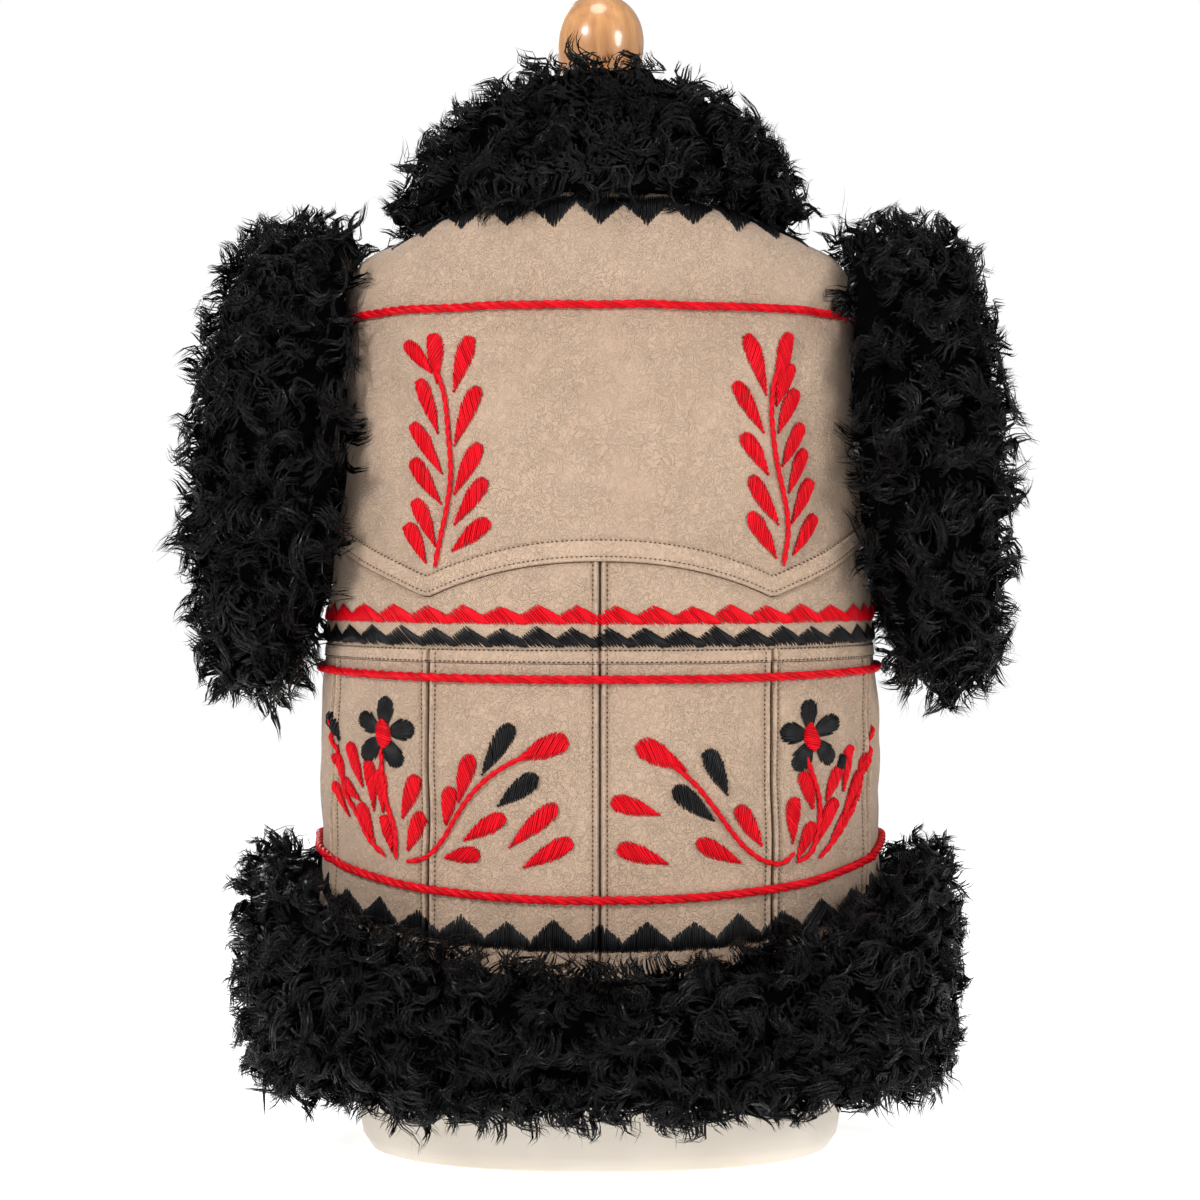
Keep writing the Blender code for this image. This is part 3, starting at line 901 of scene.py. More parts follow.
# %% Silk material
def make_silk(name, deep, bright, roughness, specular):
    """Thread whose tint steps a little from stitch to stitch, with painted shade that darkens it at its
    sides.
    """
    material, tree, shader = new_material(name, roughness, specular)
    stitch, edge = strand_values(tree)
    tint = ramp(tree, stitch, [(0.0, deep), (1.0, bright)])
    # Painted shade: each stitch darkens towards its two sides, where it meets the next thread.
    tint = mix_color(tree, 1.0, tint, ramp(tree, edge, [(0.35, 1.0), (1.0, 0.36)]), "MULTIPLY")
    tree.links.new(tint, shader.inputs["Base Color"])
    twist = noise(tree, object_place(tree), 1900.0, detail=1.0)
    tree.links.new(bump(tree, twist, 0.30, 0.0003), shader.inputs["Normal"])
    print("thread", name)
    return material


RED_SILK = make_silk("red_silk", (0.50, 0.0015, 0.007), (0.76, 0.004, 0.014), 0.36, 0.09)
BLACK_SILK = make_silk("black_silk", (0.0016, 0.0016, 0.0020), (0.0062, 0.0064, 0.0078), 0.36, 0.18)
SEAM_SILK = make_silk("seam_thread", (0.045, 0.028, 0.018), (0.100, 0.066, 0.044), 0.6, 0.22)
RED_THREAD = (RED_SILK, "red_thread")
BLACK_THREAD = (BLACK_SILK, "black_thread")
SEAM_THREAD = (SEAM_SILK, "black_thread")


# %% Stitches as arched strips
FINE_STRIP = (5, 5)
PLAIN_STRIP = (4, 3)
END_WIDTH = 0.45
STITCH_SINK = 0.0001


def lay_stitches(starts, ends, width, rise, base=0.0002, strip=FINE_STRIP):
    """Corners of arched strips from pattern starts to pattern ends, both (n, 2) arrays.

    A strip has strip[0] corners along and strip[1] across; all its sizes are in metres.
    """
    count = len(starts)
    run = np.linspace(0.0, 1.0, strip[0])
    side = np.linspace(-1.0, 1.0, strip[1])
    direction = ends - starts
    length = np.linalg.norm(direction, axis=1, keepdims=True) + 1e-9
    beside = np.stack([-direction[:, 1], direction[:, 0]], axis=1) / length
    width = np.broadcast_to(np.asarray(width, float), (count,))
    rise = np.broadcast_to(np.asarray(rise, float), (count,))
    swell = (1 - (2 * run - 1) ** 4) ** 0.5
    centre = starts[:, None, :] + direction[:, None, :] * run[None, :, None]
    offset = beside[:, None, None, :] * side[None, None, :, None]
    narrow = END_WIDTH + (1 - END_WIDTH) * swell
    flat = (centre[:, :, None, :]
            + offset * (0.5 * width[:, None, None, None]) * narrow[None, :, None, None])
    arch = np.sqrt(np.maximum(0.0, 1 - side ** 2 * 0.98))
    lift = (rise[:, None, None] * swell[None, :, None] * (0.55 + 0.45 * arch[None, None, :])
            + 0.5 * width[:, None, None] * arch[None, None, :] * narrow[None, :, None]
            - STITCH_SINK)
    flat = flat.reshape(-1, 2)
    points, _ = cloth(flat[:, 0], flat[:, 1], base + lift.reshape(-1))
    return points


tint_chance = np.random.default_rng(7)


def stitch_piece(name, groups, thread, strip=FINE_STRIP):
    """One embroidery piece from groups of stitch corners, with a tint for each stitch."""
    material, slot_name = thread
    corners = np.concatenate(groups)
    rows, columns = strip
    count = len(corners) // (rows * columns)
    uvs = np.zeros((count, rows * columns, 2))
    uvs[..., 0] = tint_chance.random(count)[:, None]
    # The second value runs from the stitch's middle to its sides and drives the thread's painted shade
    # at the sides.
    uvs[..., 1] = np.tile(np.abs(np.linspace(-1, 1, columns)), rows)
    quads = strip_quads(count, rows, columns)[:, ::-1]
    settle(build_piece(name, corners, quads, material, uvs.reshape(-1, 2)))
    print(f"  {count} stitches")


# %% [markdown]
# ## Toothed bands
#
# The borders are rows of teeth worked in satin stitch.  At the waist the stitches all lean
# one way, so each tooth is a slanted heap with a round back.  At the hem and the neck the
# stitches stand upright and only their length changes, so the teeth are pointed.


# %% Leaning teeth at the waist
THREAD_WIDTH = 0.00165
THREAD_SPACING = 0.00130
STEEP_SHARE = 0.46


def leaning_band(low_level, high_level, period, lean, valley, first_across, seed):
    """Satin teeth of parallel stitches that run down to the right, round the body."""
    wobble = np.random.default_rng(seed)
    reach = short_of_front(low_level, 0.006)
    along = np.arange(-reach, reach, THREAD_SPACING)
    share = ((first_across - along) / period) % 1.0
    tooth = np.floor((first_across - along) / period).astype(int)
    size = 1.0 + 0.08 * np.sin(tooth * 2.7) + 0.05 * np.sin(tooth * 5.1)
    rise = np.where(share < STEEP_SHARE, share / STEEP_SHARE, (1 - share) / (1 - STEEP_SHARE))
    height = (valley + (1 - valley) * rise ** 0.9 * size) * (high_level - low_level)
    slope = lean / (high_level - low_level)
    starts = np.stack([along - slope * height, np.full_like(along, low_level)], axis=1)
    ends = np.stack([along, low_level + height], axis=1)
    starts[:, 1] += wobble.normal(0, 0.00025, len(along))
    ends += wobble.normal(0, 0.00018, ends.shape)
    return lay_stitches(starts, ends, THREAD_WIDTH * wobble.uniform(0.9, 1.12, len(along)),
                        0.0009)


stitch_piece("red_toothed_band",
             [leaning_band(low_level=0.3630, high_level=0.3756, period=0.0253, lean=0.0120,
                           valley=0.46, first_across=0.002, seed=3)], RED_THREAD)
stitch_piece("black_toothed_band",
             [leaning_band(low_level=0.3480, high_level=0.3612, period=0.0234, lean=0.0128,
                           valley=0.42, first_across=0.006, seed=5)], BLACK_THREAD)


# %% Upright teeth at the hem and the neck
HEM_RISE = 0.0140
SWEEP_REACH = 0.26


def hem_rise(across):
    """Extra height of the hem's borders, which sweep up towards the sides."""
    return HEM_RISE * np.clip(np.abs(across) / SWEEP_REACH, 0, 1) ** 3.5


def sweep(rise, along):
    """Height that a border gains along its way, if it rises at all."""
    return rise(along) if rise else np.zeros_like(along)


TOOTH_FAN = 0.0022


def upright_band(base_level, tip_level, spine, period, reach, seed, rise=None):
    """Pointed teeth of upright stitches that fan out a little from a solid spine."""
    wobble = np.random.default_rng(seed)
    along = np.arange(-reach, reach, THREAD_SPACING)
    share = (along / period + 0.5) % 1.0
    tooth = np.floor(along / period + 0.5).astype(int)
    size = 1.0 + 0.10 * np.sin(tooth * 3.1 + seed) + 0.06 * np.sin(tooth * 1.7)
    peak = 1 - np.abs(2 * share - 1)
    height = (spine + (1.0 - spine) * peak * size) * (tip_level - base_level)
    base = base_level + sweep(rise, along)
    fanned = TOOTH_FAN * (share - 0.5)
    starts = np.stack([along + fanned, base], axis=1)
    ends = np.stack([along - fanned, base + height], axis=1)
    starts[:, 1] += wobble.normal(0, 0.0003, len(along))
    ends += wobble.normal(0, 0.0003, ends.shape)
    return lay_stitches(starts, ends, THREAD_WIDTH * wobble.uniform(0.9, 1.2, len(along)), 0.0007)


stitch_piece("hem_toothed_band",
             [upright_band(base_level=0.1500, tip_level=0.1700, spine=0.40, period=0.0305,
                           reach=short_of_front(0.16, 0.004), seed=11, rise=hem_rise)],
             BLACK_THREAD)
stitch_piece("neck_toothed_band",
             [upright_band(base_level=0.6500, tip_level=0.6285, spine=0.30, period=0.0310,
                           reach=0.190, seed=12)], BLACK_THREAD)


# %% [markdown]
# ## Twisted cords
#
# Three red cords run round the vest.  A cord is three fat yarns laid round each other, and
# the slanting grooves between them are what the eye reads as a cord.  So each yarn is a
# real helix, worked out as a tube round the cord's line, a third of a turn from the next.
# The stems of the sprays, further down, are the same thing with two thinner yarns.


# %% Cord geometry
CORD_SIDES = 8
CORD_STEP = 0.0025
END_FADE = 0.004


def yarn_corners(line, phase, yarn_radius, orbit, pitch):
    """Corners of one yarn of a cord that follows an (n, 2) pattern line, and its rows."""
    run = run_along(line)
    marks = np.linspace(0.0, run[-1], max(8, int(run[-1] / CORD_STEP)))
    path = np.stack([np.interp(marks, run, line[:, 0]), np.interp(marks, run, line[:, 1])], axis=1)
    points, normals = cloth(path[:, 0], path[:, 1])
    tangent = np.gradient(points, axis=0)
    tangent /= np.linalg.norm(tangent, axis=1, keepdims=True)
    beside = np.cross(normals, tangent)
    beside /= np.linalg.norm(beside, axis=1, keepdims=True)
    angle = 2 * math.pi * marks / pitch + phase
    fade = np.clip(np.minimum(marks, run[-1] - marks) / END_FADE, 0.0, 1.0)[:, None]
    centre = (points + normals * (orbit + yarn_radius * 0.60)
              + (beside * np.cos(angle)[:, None] + normals * np.sin(angle)[:, None]) * orbit)
    round_angle = np.linspace(0, 2 * math.pi, CORD_SIDES, endpoint=False)
    radius = yarn_radius * (0.30 + 0.70 * fade)
    ring = (beside[:, None, :] * np.cos(round_angle)[None, :, None]
            + normals[:, None, :] * np.sin(round_angle)[None, :, None])
    return (centre[:, None, :] + ring * radius[:, None, :]).reshape(-1, 3), len(marks)


def cord_piece(name, line, yarns=3, yarn_radius=0.00170, orbit=0.00135, pitch=0.0230):
    """A red cord of twisted yarns; each yarn has a slightly different red."""
    corners = []
    quads = []
    tints = []
    total = 0
    for yarn in range(yarns):
        points, rows = yarn_corners(line, 2 * math.pi * yarn / yarns, yarn_radius, orbit, pitch)
        quads.append(tube_quads(1, rows, CORD_SIDES) + total)
        corners.append(points)
        tints.append(np.full((len(points), 2), 0.35 + 0.2 * yarn))
        total += len(points)
    material, slot_name = RED_THREAD
    settle(build_piece(name, np.concatenate(corners), np.concatenate(quads), material,
                       np.concatenate(tints)))


# %% The three cords
YOKE_CORD_REACH = 0.205
YOKE_CORD_RISE = 0.0030
WAIST_CORD_RISE = 0.0035
CORD_SHORT = 0.003


def level_line(level, reach, rise=None):
    """A pattern line round the body at a level, which may sweep up towards the sides."""
    along = np.linspace(-reach, reach, 400)
    return np.stack([along, level + sweep(rise, along)], axis=1)


def yoke_cord_rise(across):
    return YOKE_CORD_RISE * (across / YOKE_CORD_REACH) ** 2


def waist_cord_rise(across):
    return WAIST_CORD_RISE * np.clip(np.abs(across) / SWEEP_REACH, 0, 1) ** 3


cord_piece("yoke_cord",
           level_line(level=0.5722, reach=YOKE_CORD_REACH, rise=yoke_cord_rise))
cord_piece("waist_cord",
           level_line(level=0.3268, reach=short_of_front(0.33, CORD_SHORT), rise=waist_cord_rise))
cord_piece("hem_cord",
           level_line(level=0.1840, reach=short_of_front(0.184, CORD_SHORT), rise=hem_rise))


# %% [markdown]
# ## Leaves, stems and flowers
#
# The sprays are drawn afresh on the flat pattern.  A leaf is a drop with a round head and
# a pointed foot, filled with satin stitches that lean across it.  A stem is a thin cord
# along a curve, and a flower is five round petals about an oval of red.  Leaves sit in
# short tables: where the head is, where the foot is, and how wide the leaf grows.


# %% Satin leaf
WIDEST_SHARE = 0.74
HEAD_LENGTH = 0.27
FOOT_POWER = 1.15
LEAF_SAMPLES = 61


def leaf_width(share):
    """Half width of a leaf, from its pointed foot (0) to its round head (1), as a share."""
    head = np.sqrt(np.maximum(0.0, 1 - ((share - WIDEST_SHARE) / HEAD_LENGTH) ** 2))
    foot = np.clip(np.maximum(share, 0.0) / WIDEST_SHARE, 0, 1)
    return np.where(share > WIDEST_SHARE, head, np.sin(foot * math.pi / 2) ** FOOT_POWER)


def satin_leaf(head, foot, width, lean, seed):
    """Stitches of one leaf; head and foot are pattern places and lean is in degrees."""
    wobble = np.random.default_rng(seed)
    head = np.asarray(head, float)
    foot = np.asarray(foot, float)
    axis = head - foot
    length = np.linalg.norm(axis)
    axis /= length
    side = np.array([-axis[1], axis[0]])
    slope = math.tan(math.radians(lean))
    reach = 0.5 * width * abs(slope)
    marks = np.arange(-reach, length + reach, THREAD_SPACING / math.cos(math.radians(lean)))
    beside = np.linspace(-0.5 * width, 0.5 * width, LEAF_SAMPLES)
    along = marks[:, None] + slope * beside[None, :]
    half = 0.5 * width * leaf_width(np.clip(along / length, 0, 1))
    inside = (along > 0) & (along < length) & (np.abs(beside)[None, :] <= half)
    keep = inside.sum(axis=1) > 4
    ends = []
    for pick in (inside.argmax(axis=1), LEAF_SAMPLES - 1 - inside[:, ::-1].argmax(axis=1)):
        across = beside[pick][keep] * (1 + wobble.normal(0, 0.04, keep.sum()))
        place = (marks + slope * beside[pick])[keep]
        ends.append(foot + axis * place[:, None] + side * across[:, None])
    stitch_width = THREAD_WIDTH * wobble.uniform(0.90, 1.20, keep.sum())
    return lay_stitches(ends[0], ends[1], stitch_width, wobble.uniform(0.0011, 0.0017, keep.sum()))


# %% Petals and flower centres
PETAL_INNER = 0.0068
PETAL_OUTER = 0.0262


def petal(centre, angle, width, seed):
    """A round black petal whose stitches run outward and fan at its rim."""
    wobble = np.random.default_rng(seed)
    spread = np.linspace(-1, 1, int(width / THREAD_SPACING * 1.25))
    out = np.array([math.cos(angle), math.sin(angle)])
    side = np.array([-out[1], out[0]])
    length = PETAL_OUTER - PETAL_INNER
    rim = PETAL_INNER + length * (0.60 + 0.40 * np.sqrt(np.maximum(0, 1 - spread ** 2)))
    starts = centre + out * PETAL_INNER + side * (spread * width * 0.20)[:, None]
    ends = centre + out * rim[:, None] + side * (spread * width * 0.50)[:, None]
    ends += wobble.normal(0, 0.0002, ends.shape)
    return lay_stitches(starts, ends, THREAD_WIDTH * 1.25, 0.0012)


CENTRE_SLANT = 0.25


def oval_centre(centre, width, height, seed):
    """Red oval of slightly slanting satin stitches, raised above the petals."""
    wobble = np.random.default_rng(seed)
    up = np.arange(-height / 2, height / 2, THREAD_SPACING)
    half = 0.5 * width * np.sqrt(np.maximum(0.03, 1 - (2 * up / height) ** 2))
    starts = np.stack([centre[0] - half, centre[1] + up - CENTRE_SLANT * half], axis=1)
    ends = np.stack([centre[0] + half, centre[1] + up + CENTRE_SLANT * half], axis=1)
    starts += wobble.normal(0, 0.0002, starts.shape)
    return lay_stitches(starts, ends, THREAD_WIDTH * 1.1, 0.0014, base=0.0006)


def smooth_line(points, count=80):
    """A smooth curve through given pattern points."""
    points = np.asarray(points, float)
    run = run_along(points)
    tangent = np.gradient(points, run, axis=0)
    marks = np.linspace(0, run[-1], count)
    row = np.clip(np.searchsorted(run, marks, side="right") - 1, 0, len(run) - 2)
    span = (run[row + 1] - run[row])[:, None]
    share = (marks - run[row])[:, None] / span
    return hermite(share, span, points[row], points[row + 1], tangent[row], tangent[row + 1])


# %% Leaves and stems from tables
MM = 0.001
LEAF_FULLNESS = 1.16
LEAF_LEAN = 54.0
LEAF_COLUMNS = ("head_across", "head_level", "foot_across", "foot_level", "width")
STEM_SIZES = dict(yarns=2, yarn_radius=0.00125, orbit=0.00070, pitch=0.0150)


def leaves_from(rows, first_seed):
    """Stitches of a table of leaves in millimetres, which slant to the side each points to."""
    made = []
    for index, row in enumerate(rows):
        leaf = dict(zip(LEAF_COLUMNS, row))
        head = (leaf["head_across"] * MM, leaf["head_level"] * MM)
        foot = (leaf["foot_across"] * MM, leaf["foot_level"] * MM)
        slant = math.copysign(LEAF_LEAN, head[0] - foot[0])
        made.append(satin_leaf(head, foot, leaf["width"] * MM * LEAF_FULLNESS, slant,
                               first_seed + index))
    return made


def stem_piece(name, points):
    """A thin cord along a smooth curve through places in millimetres."""
    cord_piece(name, smooth_line(np.asarray(points) * MM), **STEM_SIZES)


# %% Branches on the yoke
LEFT_BRANCH_STEM = (
    (110, 400), (106, 420), (102, 440), (99, 462), (101, 492), (106, 522), (110, 532),
)
LEFT_BRANCH_LEAVES = (
    (112, 557, 109, 520, 11.0),
    (133, 552, 111, 527, 9.5),
    (122, 526, 108, 486, 10.0),
    (129, 497, 104, 460, 10.5),
    (129, 473, 105, 440, 10.5),
    (125, 446, 109, 412, 10.5),
    (131, 430, 116, 401, 10.5),
    (87, 554, 98, 514, 11.0),
    (81, 520, 97, 478, 11.0),
    (79, 482, 98, 446, 10.5),
    (75, 459, 98, 426, 10.5),
    (73, 432, 100, 409, 10.5),
)
RIGHT_BRANCH_STEM = (
    (-124, 401), (-127, 426), (-123, 452), (-117, 482), (-116, 508), (-119, 528), (-122, 535),
)
RIGHT_BRANCH_LEAVES = (
    (-128, 558, -119, 512, 11.0),
    (-99, 556, -113, 512, 10.5),
    (-90, 523, -111, 487, 10.5),
    (-95, 489, -114, 459, 10.5),
    (-100, 461, -121, 426, 10.5),
    (-100, 437, -120, 404, 10.5),
    (-131, 537, -119, 505, 10.0),
    (-135, 520, -120, 487, 10.5),
    (-141, 497, -123, 465, 10.5),
    (-144, 480, -127, 447, 10.0),
    (-148, 460, -129, 427, 10.0),
    (-151, 436, -130, 406, 10.0),
)


for hand, stem, leaves, seed in (("left", LEFT_BRANCH_STEM, LEFT_BRANCH_LEAVES, 100),
                                 ("right", RIGHT_BRANCH_STEM, RIGHT_BRANCH_LEAVES, 140)):
    stitch_piece(f"branch_leaves_{hand}", leaves_from(leaves, seed), RED_THREAD)
    stem_piece(f"branch_stem_{hand}", stem)


# %% Sprays on the skirt
LEFT_SPRAY_LEAVES = (
    (21, 289, 56, 273, 13.5),
    (85, 277, 94, 242, 10.5),
    (99, 255, 103, 226, 10.0),
    (62, 238, 92, 218, 10.5),
    (79, 212, 106, 206, 10.0),
    (28, 246, 61, 215, 11.0),
    (18, 223, 52, 203, 11.0),
    (124, 261, 134, 228, 11.0),
    (120, 236, 130, 206, 10.5),
    (154, 262, 148, 229, 9.5),
    (163, 267, 156, 229, 9.5),
    (184, 278, 166, 245, 10.0),
    (190, 250, 168, 236, 9.5),
    (170, 236, 154, 208, 10.0),
    (147, 231, 141, 204, 9.0),
    (200, 268, 186, 236, 8.0),
    (203, 246, 180, 222, 8.0),
)
LEFT_SPRAY_BLACK = (
    (58, 298, 78, 262, 11.5),
    (41, 265, 68, 242, 11.5),
    (208, 298, 196, 276, 8.0),
)
LEFT_SPRAY_STEMS = (
    ((130, 201), (117, 205), (105, 218), (96, 233), (86, 248), (74, 261), (60, 271), (44, 279)),
    ((152, 277), (151, 257), (146, 240), (139, 222), (138, 201)),
    ((206, 292), (196, 262), (184, 240), (170, 225), (158, 211), (146, 202)),
)
RIGHT_SPRAY_LEAVES = (
    (-24, 286, -58, 266, 13.5),
    (-131, 245, -130, 211, 11.0),
    (-91, 243, -108, 212, 10.5),
    (-63, 221, -95, 203, 10.5),
    (-7, 249, -41, 238, 11.0),
    (-11, 219, -46, 206, 11.0),
    (-139, 262, -147, 232, 10.0),
    (-170, 262, -157, 236, 10.0),
    (-166, 240, -148, 208, 10.5),
    (-147, 226, -132, 200, 10.0),
    (-184, 276, -172, 240, 9.0),
    (-192, 256, -170, 222, 9.0),
    (-182, 232, -158, 206, 9.0),
    (-202, 268, -188, 232, 8.0),
)
RIGHT_SPRAY_BLACK = (
    (-70, 281, -84, 248, 11.5),
    (-48, 257, -76, 232, 11.5),
    (-176, 270, -168, 250, 8.0),
)
RIGHT_SPRAY_STEMS = (
    ((-131, 207), (-122, 201), (-109, 204), (-98, 212), (-87, 225), (-76, 240), (-62, 258), (-46, 272)),
    ((-141, 272), (-147, 255), (-152, 238), (-150, 219), (-142, 204), (-132, 200)),
    ((-208, 288), (-198, 258), (-184, 234), (-168, 214), (-150, 200)),
)


def spray(hand, leaves, dark_leaves, stems, seed):
    """One side's spray: red leaves, black leaves and their stems."""
    stitch_piece(f"spray_leaves_{hand}", leaves_from(leaves, seed), RED_THREAD)
    stitch_piece(f"spray_dark_leaves_{hand}", leaves_from(dark_leaves, seed + 40), BLACK_THREAD)
    for index, stem in enumerate(stems):
        stem_piece(f"spray_stem_{hand}_{index}", stem)


spray("left", LEFT_SPRAY_LEAVES, LEFT_SPRAY_BLACK, LEFT_SPRAY_STEMS, 200)
spray("right", RIGHT_SPRAY_LEAVES, RIGHT_SPRAY_BLACK, RIGHT_SPRAY_STEMS, 300)


# %% Flowers on the skirt
PETALS = 5
PETAL_WIDTH = 0.0150
CENTRE_WIDTH = 0.0145
CENTRE_HEIGHT = 0.0200
FLOWER_COLUMNS = ("across", "level", "first_angle")
FLOWERS = [dict(zip(FLOWER_COLUMNS, row)) for row in ((151, 287, 96), (-147, 285, 84))]


def flower_piece(index, flower):
    """Black petals evenly round a red centre."""
    middle = np.array([flower["across"], flower["level"]]) * MM
    petals = [petal(middle, math.radians(flower["first_angle"] + 360 / PETALS * turn), PETAL_WIDTH,
                    400 + turn + 10 * index) for turn in range(PETALS)]
    stitch_piece(f"flower_petals_{index}", petals, BLACK_THREAD)
    centre = oval_centre(middle, CENTRE_WIDTH, CENTRE_HEIGHT, 450 + index)
    stitch_piece(f"flower_centre_{index}", [centre], RED_THREAD)


for index, flower in enumerate(FLOWERS):
    flower_piece(index, flower)


# %% [markdown]
# ## Seam stitches
#
# The seams are opened and stitched down on both sides, and the folded edges have rows of
# their own.  Each stitch is a dash of darker thread that dives into the hide at both ends.


# %% Seam stitches
DASH_LENGTH = 0.0022
DASH_SPACING = 0.0032
DASH_WIDTH = 0.00105
DASH_RISE = 0.00025
DASH_BASE = -0.00015


def points_at(distance, run, line):
    """Places on a pattern line at distances along it."""
    return np.stack([np.interp(distance, run, line[:, 0]),
                     np.interp(distance, run, line[:, 1])], axis=1)


def dash_row(line, seed):
    """Stitches along a pattern line given as an (n, 2) array."""
    wobble = np.random.default_rng(seed)
    run = run_along(line)
    marks = np.arange(0.001, run[-1] - DASH_LENGTH, DASH_SPACING)
    marks = marks + wobble.normal(0, 0.00012, len(marks))
    return lay_stitches(points_at(marks, run, line), points_at(marks + DASH_LENGTH, run, line),
                        DASH_WIDTH, DASH_RISE, DASH_BASE, PLAIN_STRIP)


# %% Rows beside seams and edges
SKIRT_ROW_LEVELS = (0.150, WAIST_LEVEL - 0.001)
BACK_ROW_LEVELS = (0.377, 0.4030)
BAND_ROW_LEVELS = (0.3378, 0.3462)
FRONT_ROW_LEVELS = ((0.150, 0.335), (0.350, 0.560))
YOKE_ROW_REACH = 0.21
BAND_ROW_BELOW_TOP = 0.0006
BAND_ROW_ABOVE_WAIST = 0.0012
BAND_REACH_LEVEL = 0.345
ROW_SHORT = 0.005
EDGE_ROW_INSET = 0.009


def upright_line(across, low, high):
    """A pattern line up the hide, where across is a number or a function of the level."""
    levels = np.linspace(low, high, 60)
    return np.stack([np.broadcast_to(read_side(across, levels), levels.shape), levels], axis=1)


def rows_beside(seams, low, high):
    """A pair of upright rows beside each seam."""
    return [upright_line(seam + side * SEAM_ROW_OFFSET, low, high)
            for seam in seams for side in (-1, 1)]


def front_edge_row(level):
    return half_round(level) - EDGE_ROW_INSET


def make_seam_rows():
    """Every row of seam stitches on the vest."""
    rows = rows_beside(SKIRT_SEAMS + SIDE_SEAMS, *SKIRT_ROW_LEVELS)
    rows += rows_beside((0.0,), *BACK_ROW_LEVELS)
    rows += rows_beside(SKIRT_SEAMS, *BAND_ROW_LEVELS)
    along = np.linspace(-YOKE_ROW_REACH, YOKE_ROW_REACH, 240)
    rows += [np.stack([along, yoke_edge(along) + row], axis=1) for row in (YOKE_LOW_ROW, YOKE_TOP_ROW)]
    rows.append(level_line(BAND_TOP_LEVEL - BAND_ROW_BELOW_TOP,
                           short_of_front(BAND_REACH_LEVEL, ROW_SHORT)))
    rows.append(level_line(WAIST_LEVEL + BAND_ROW_ABOVE_WAIST,
                           short_of_front(WAIST_LEVEL, ROW_SHORT)))
    for edge in (mirror(front_edge_row), front_edge_row):
        rows += [upright_line(edge, low, high) for low, high in FRONT_ROW_LEVELS]
    return [dash_row(row, 500 + index) for index, row in enumerate(rows)]


stitch_piece("seam_stitches", make_seam_rows(), SEAM_THREAD, PLAIN_STRIP)


# %% [markdown]
# ## Curly lamb fur
#
# The trims are strips of black curly lamb.  Hair particles would look right, but they do
# not export as a mesh, so each tuft is built from thin tapered ribbons.  Ribbons of one
# clump share a curl and draw together at the tip, which gives the hooked locks of real
# lamb.  Roots are spread over the trim's own solid, a little inside it, so that the tips
# end just where the solid says the fur does.


# %% Fur materials
def make_curl_material():
    """Glossy black hair: dull at its root and darkened there by painted shade, rounded across, shining
    near its tip.
    """
    material, tree, shader = new_material("curly_black_fur", 0.34, 0.27)
    across, along = strand_values(tree)
    # Painted shade: the base colour darkens towards the root, standing in for the shadow deep in the
    # fur.
    tint = ramp(tree, along, [(0.20, (0.0005, 0.0005, 0.0006)), (0.70, (0.0020, 0.0021, 0.0027))])
    tree.links.new(tint, shader.inputs["Base Color"])
    dull_root = ramp(tree, along, [(0.12, 0.80), (0.45, 0.0)])
    patchy = ramp(tree, noise(tree, object_place(tree), 210.0, detail=2.0), [(0.40, 0.13), (0.62, 0.36)])
    tree.links.new(math_node(tree, "MAXIMUM", dull_root, patchy), shader.inputs["Roughness"])
    off_middle = math_node(tree, "SUBTRACT", across, 0.5)
    roundness = math_node(tree, "MULTIPLY", math_node(tree, "MULTIPLY", off_middle, off_middle), -4.0)
    hairs = math_node(tree, "SINE", math_node(tree, "MULTIPLY", across, 22.0))
    height = math_node(tree, "ADD", roundness, math_node(tree, "MULTIPLY", hairs, 0.22))
    tree.links.new(bump(tree, height, 1.0, 0.0005), shader.inputs["Normal"])
    return material


def make_underfur_material():
    """Dull black below the curls, a little tufted."""
    material, tree, shader = new_material("dense_underfur", 0.90, 0.02)
    shader.inputs["Base Color"].default_value = (0.0009, 0.0009, 0.0010, 1.0)
    tufts = noise(tree, object_place(tree), 180.0, roughness=0.6, distortion=1.5)
    tree.links.new(bump(tree, tufts, 0.9, 0.003), shader.inputs["Normal"])
    return material


FUR = make_curl_material()
UNDERFUR = make_underfur_material()
print("fur materials", FUR.name, "and", UNDERFUR.name)


# %% Roots on a trim's solid
def unit(vectors):
    """The same directions, each one long."""
    return vectors / (np.linalg.norm(vectors, axis=-1, keepdims=True) + 1e-12)


def solid_arrays(node):
    """Merged corners of a CAD node, their smooth normals, its triangles and their areas."""
    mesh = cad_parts[node].data
    mesh.calc_loop_triangles()
    corners = np.zeros(len(mesh.vertices) * 3)
    mesh.vertices.foreach_get("co", corners)
    corners = corners.reshape(-1, 3)
    triangles = np.zeros(len(mesh.loop_triangles) * 3, np.int32)
    mesh.loop_triangles.foreach_get("vertices", triangles)
    _, first, group = np.unique(np.round(corners, 5), axis=0, return_index=True,
                                return_inverse=True)
    corners = corners[first]
    triangles = group.ravel()[triangles].reshape(-1, 3)
    face_normals = np.cross(corners[triangles[:, 1]] - corners[triangles[:, 0]],
                            corners[triangles[:, 2]] - corners[triangles[:, 0]])
    summed = np.zeros_like(corners)
    for corner in range(3):
        np.add.at(summed, triangles[:, corner], face_normals)
    return corners, unit(summed), triangles, 0.5 * np.linalg.norm(face_normals, axis=1)


def scatter(arrays, count, rng):
    """Random places and smooth normals over a solid, evenly by area."""
    corners, normals, triangles, areas = arrays
    pick = rng.choice(len(triangles), size=count, p=areas / areas.sum())
    first = np.sqrt(rng.random(count))
    second = rng.random(count)
    weights = np.stack([1 - first, first * (1 - second), first * second], axis=1)[:, :, None]
    chosen = triangles[pick]
    return (corners[chosen] * weights).sum(axis=1), unit((normals[chosen] * weights).sum(axis=1))


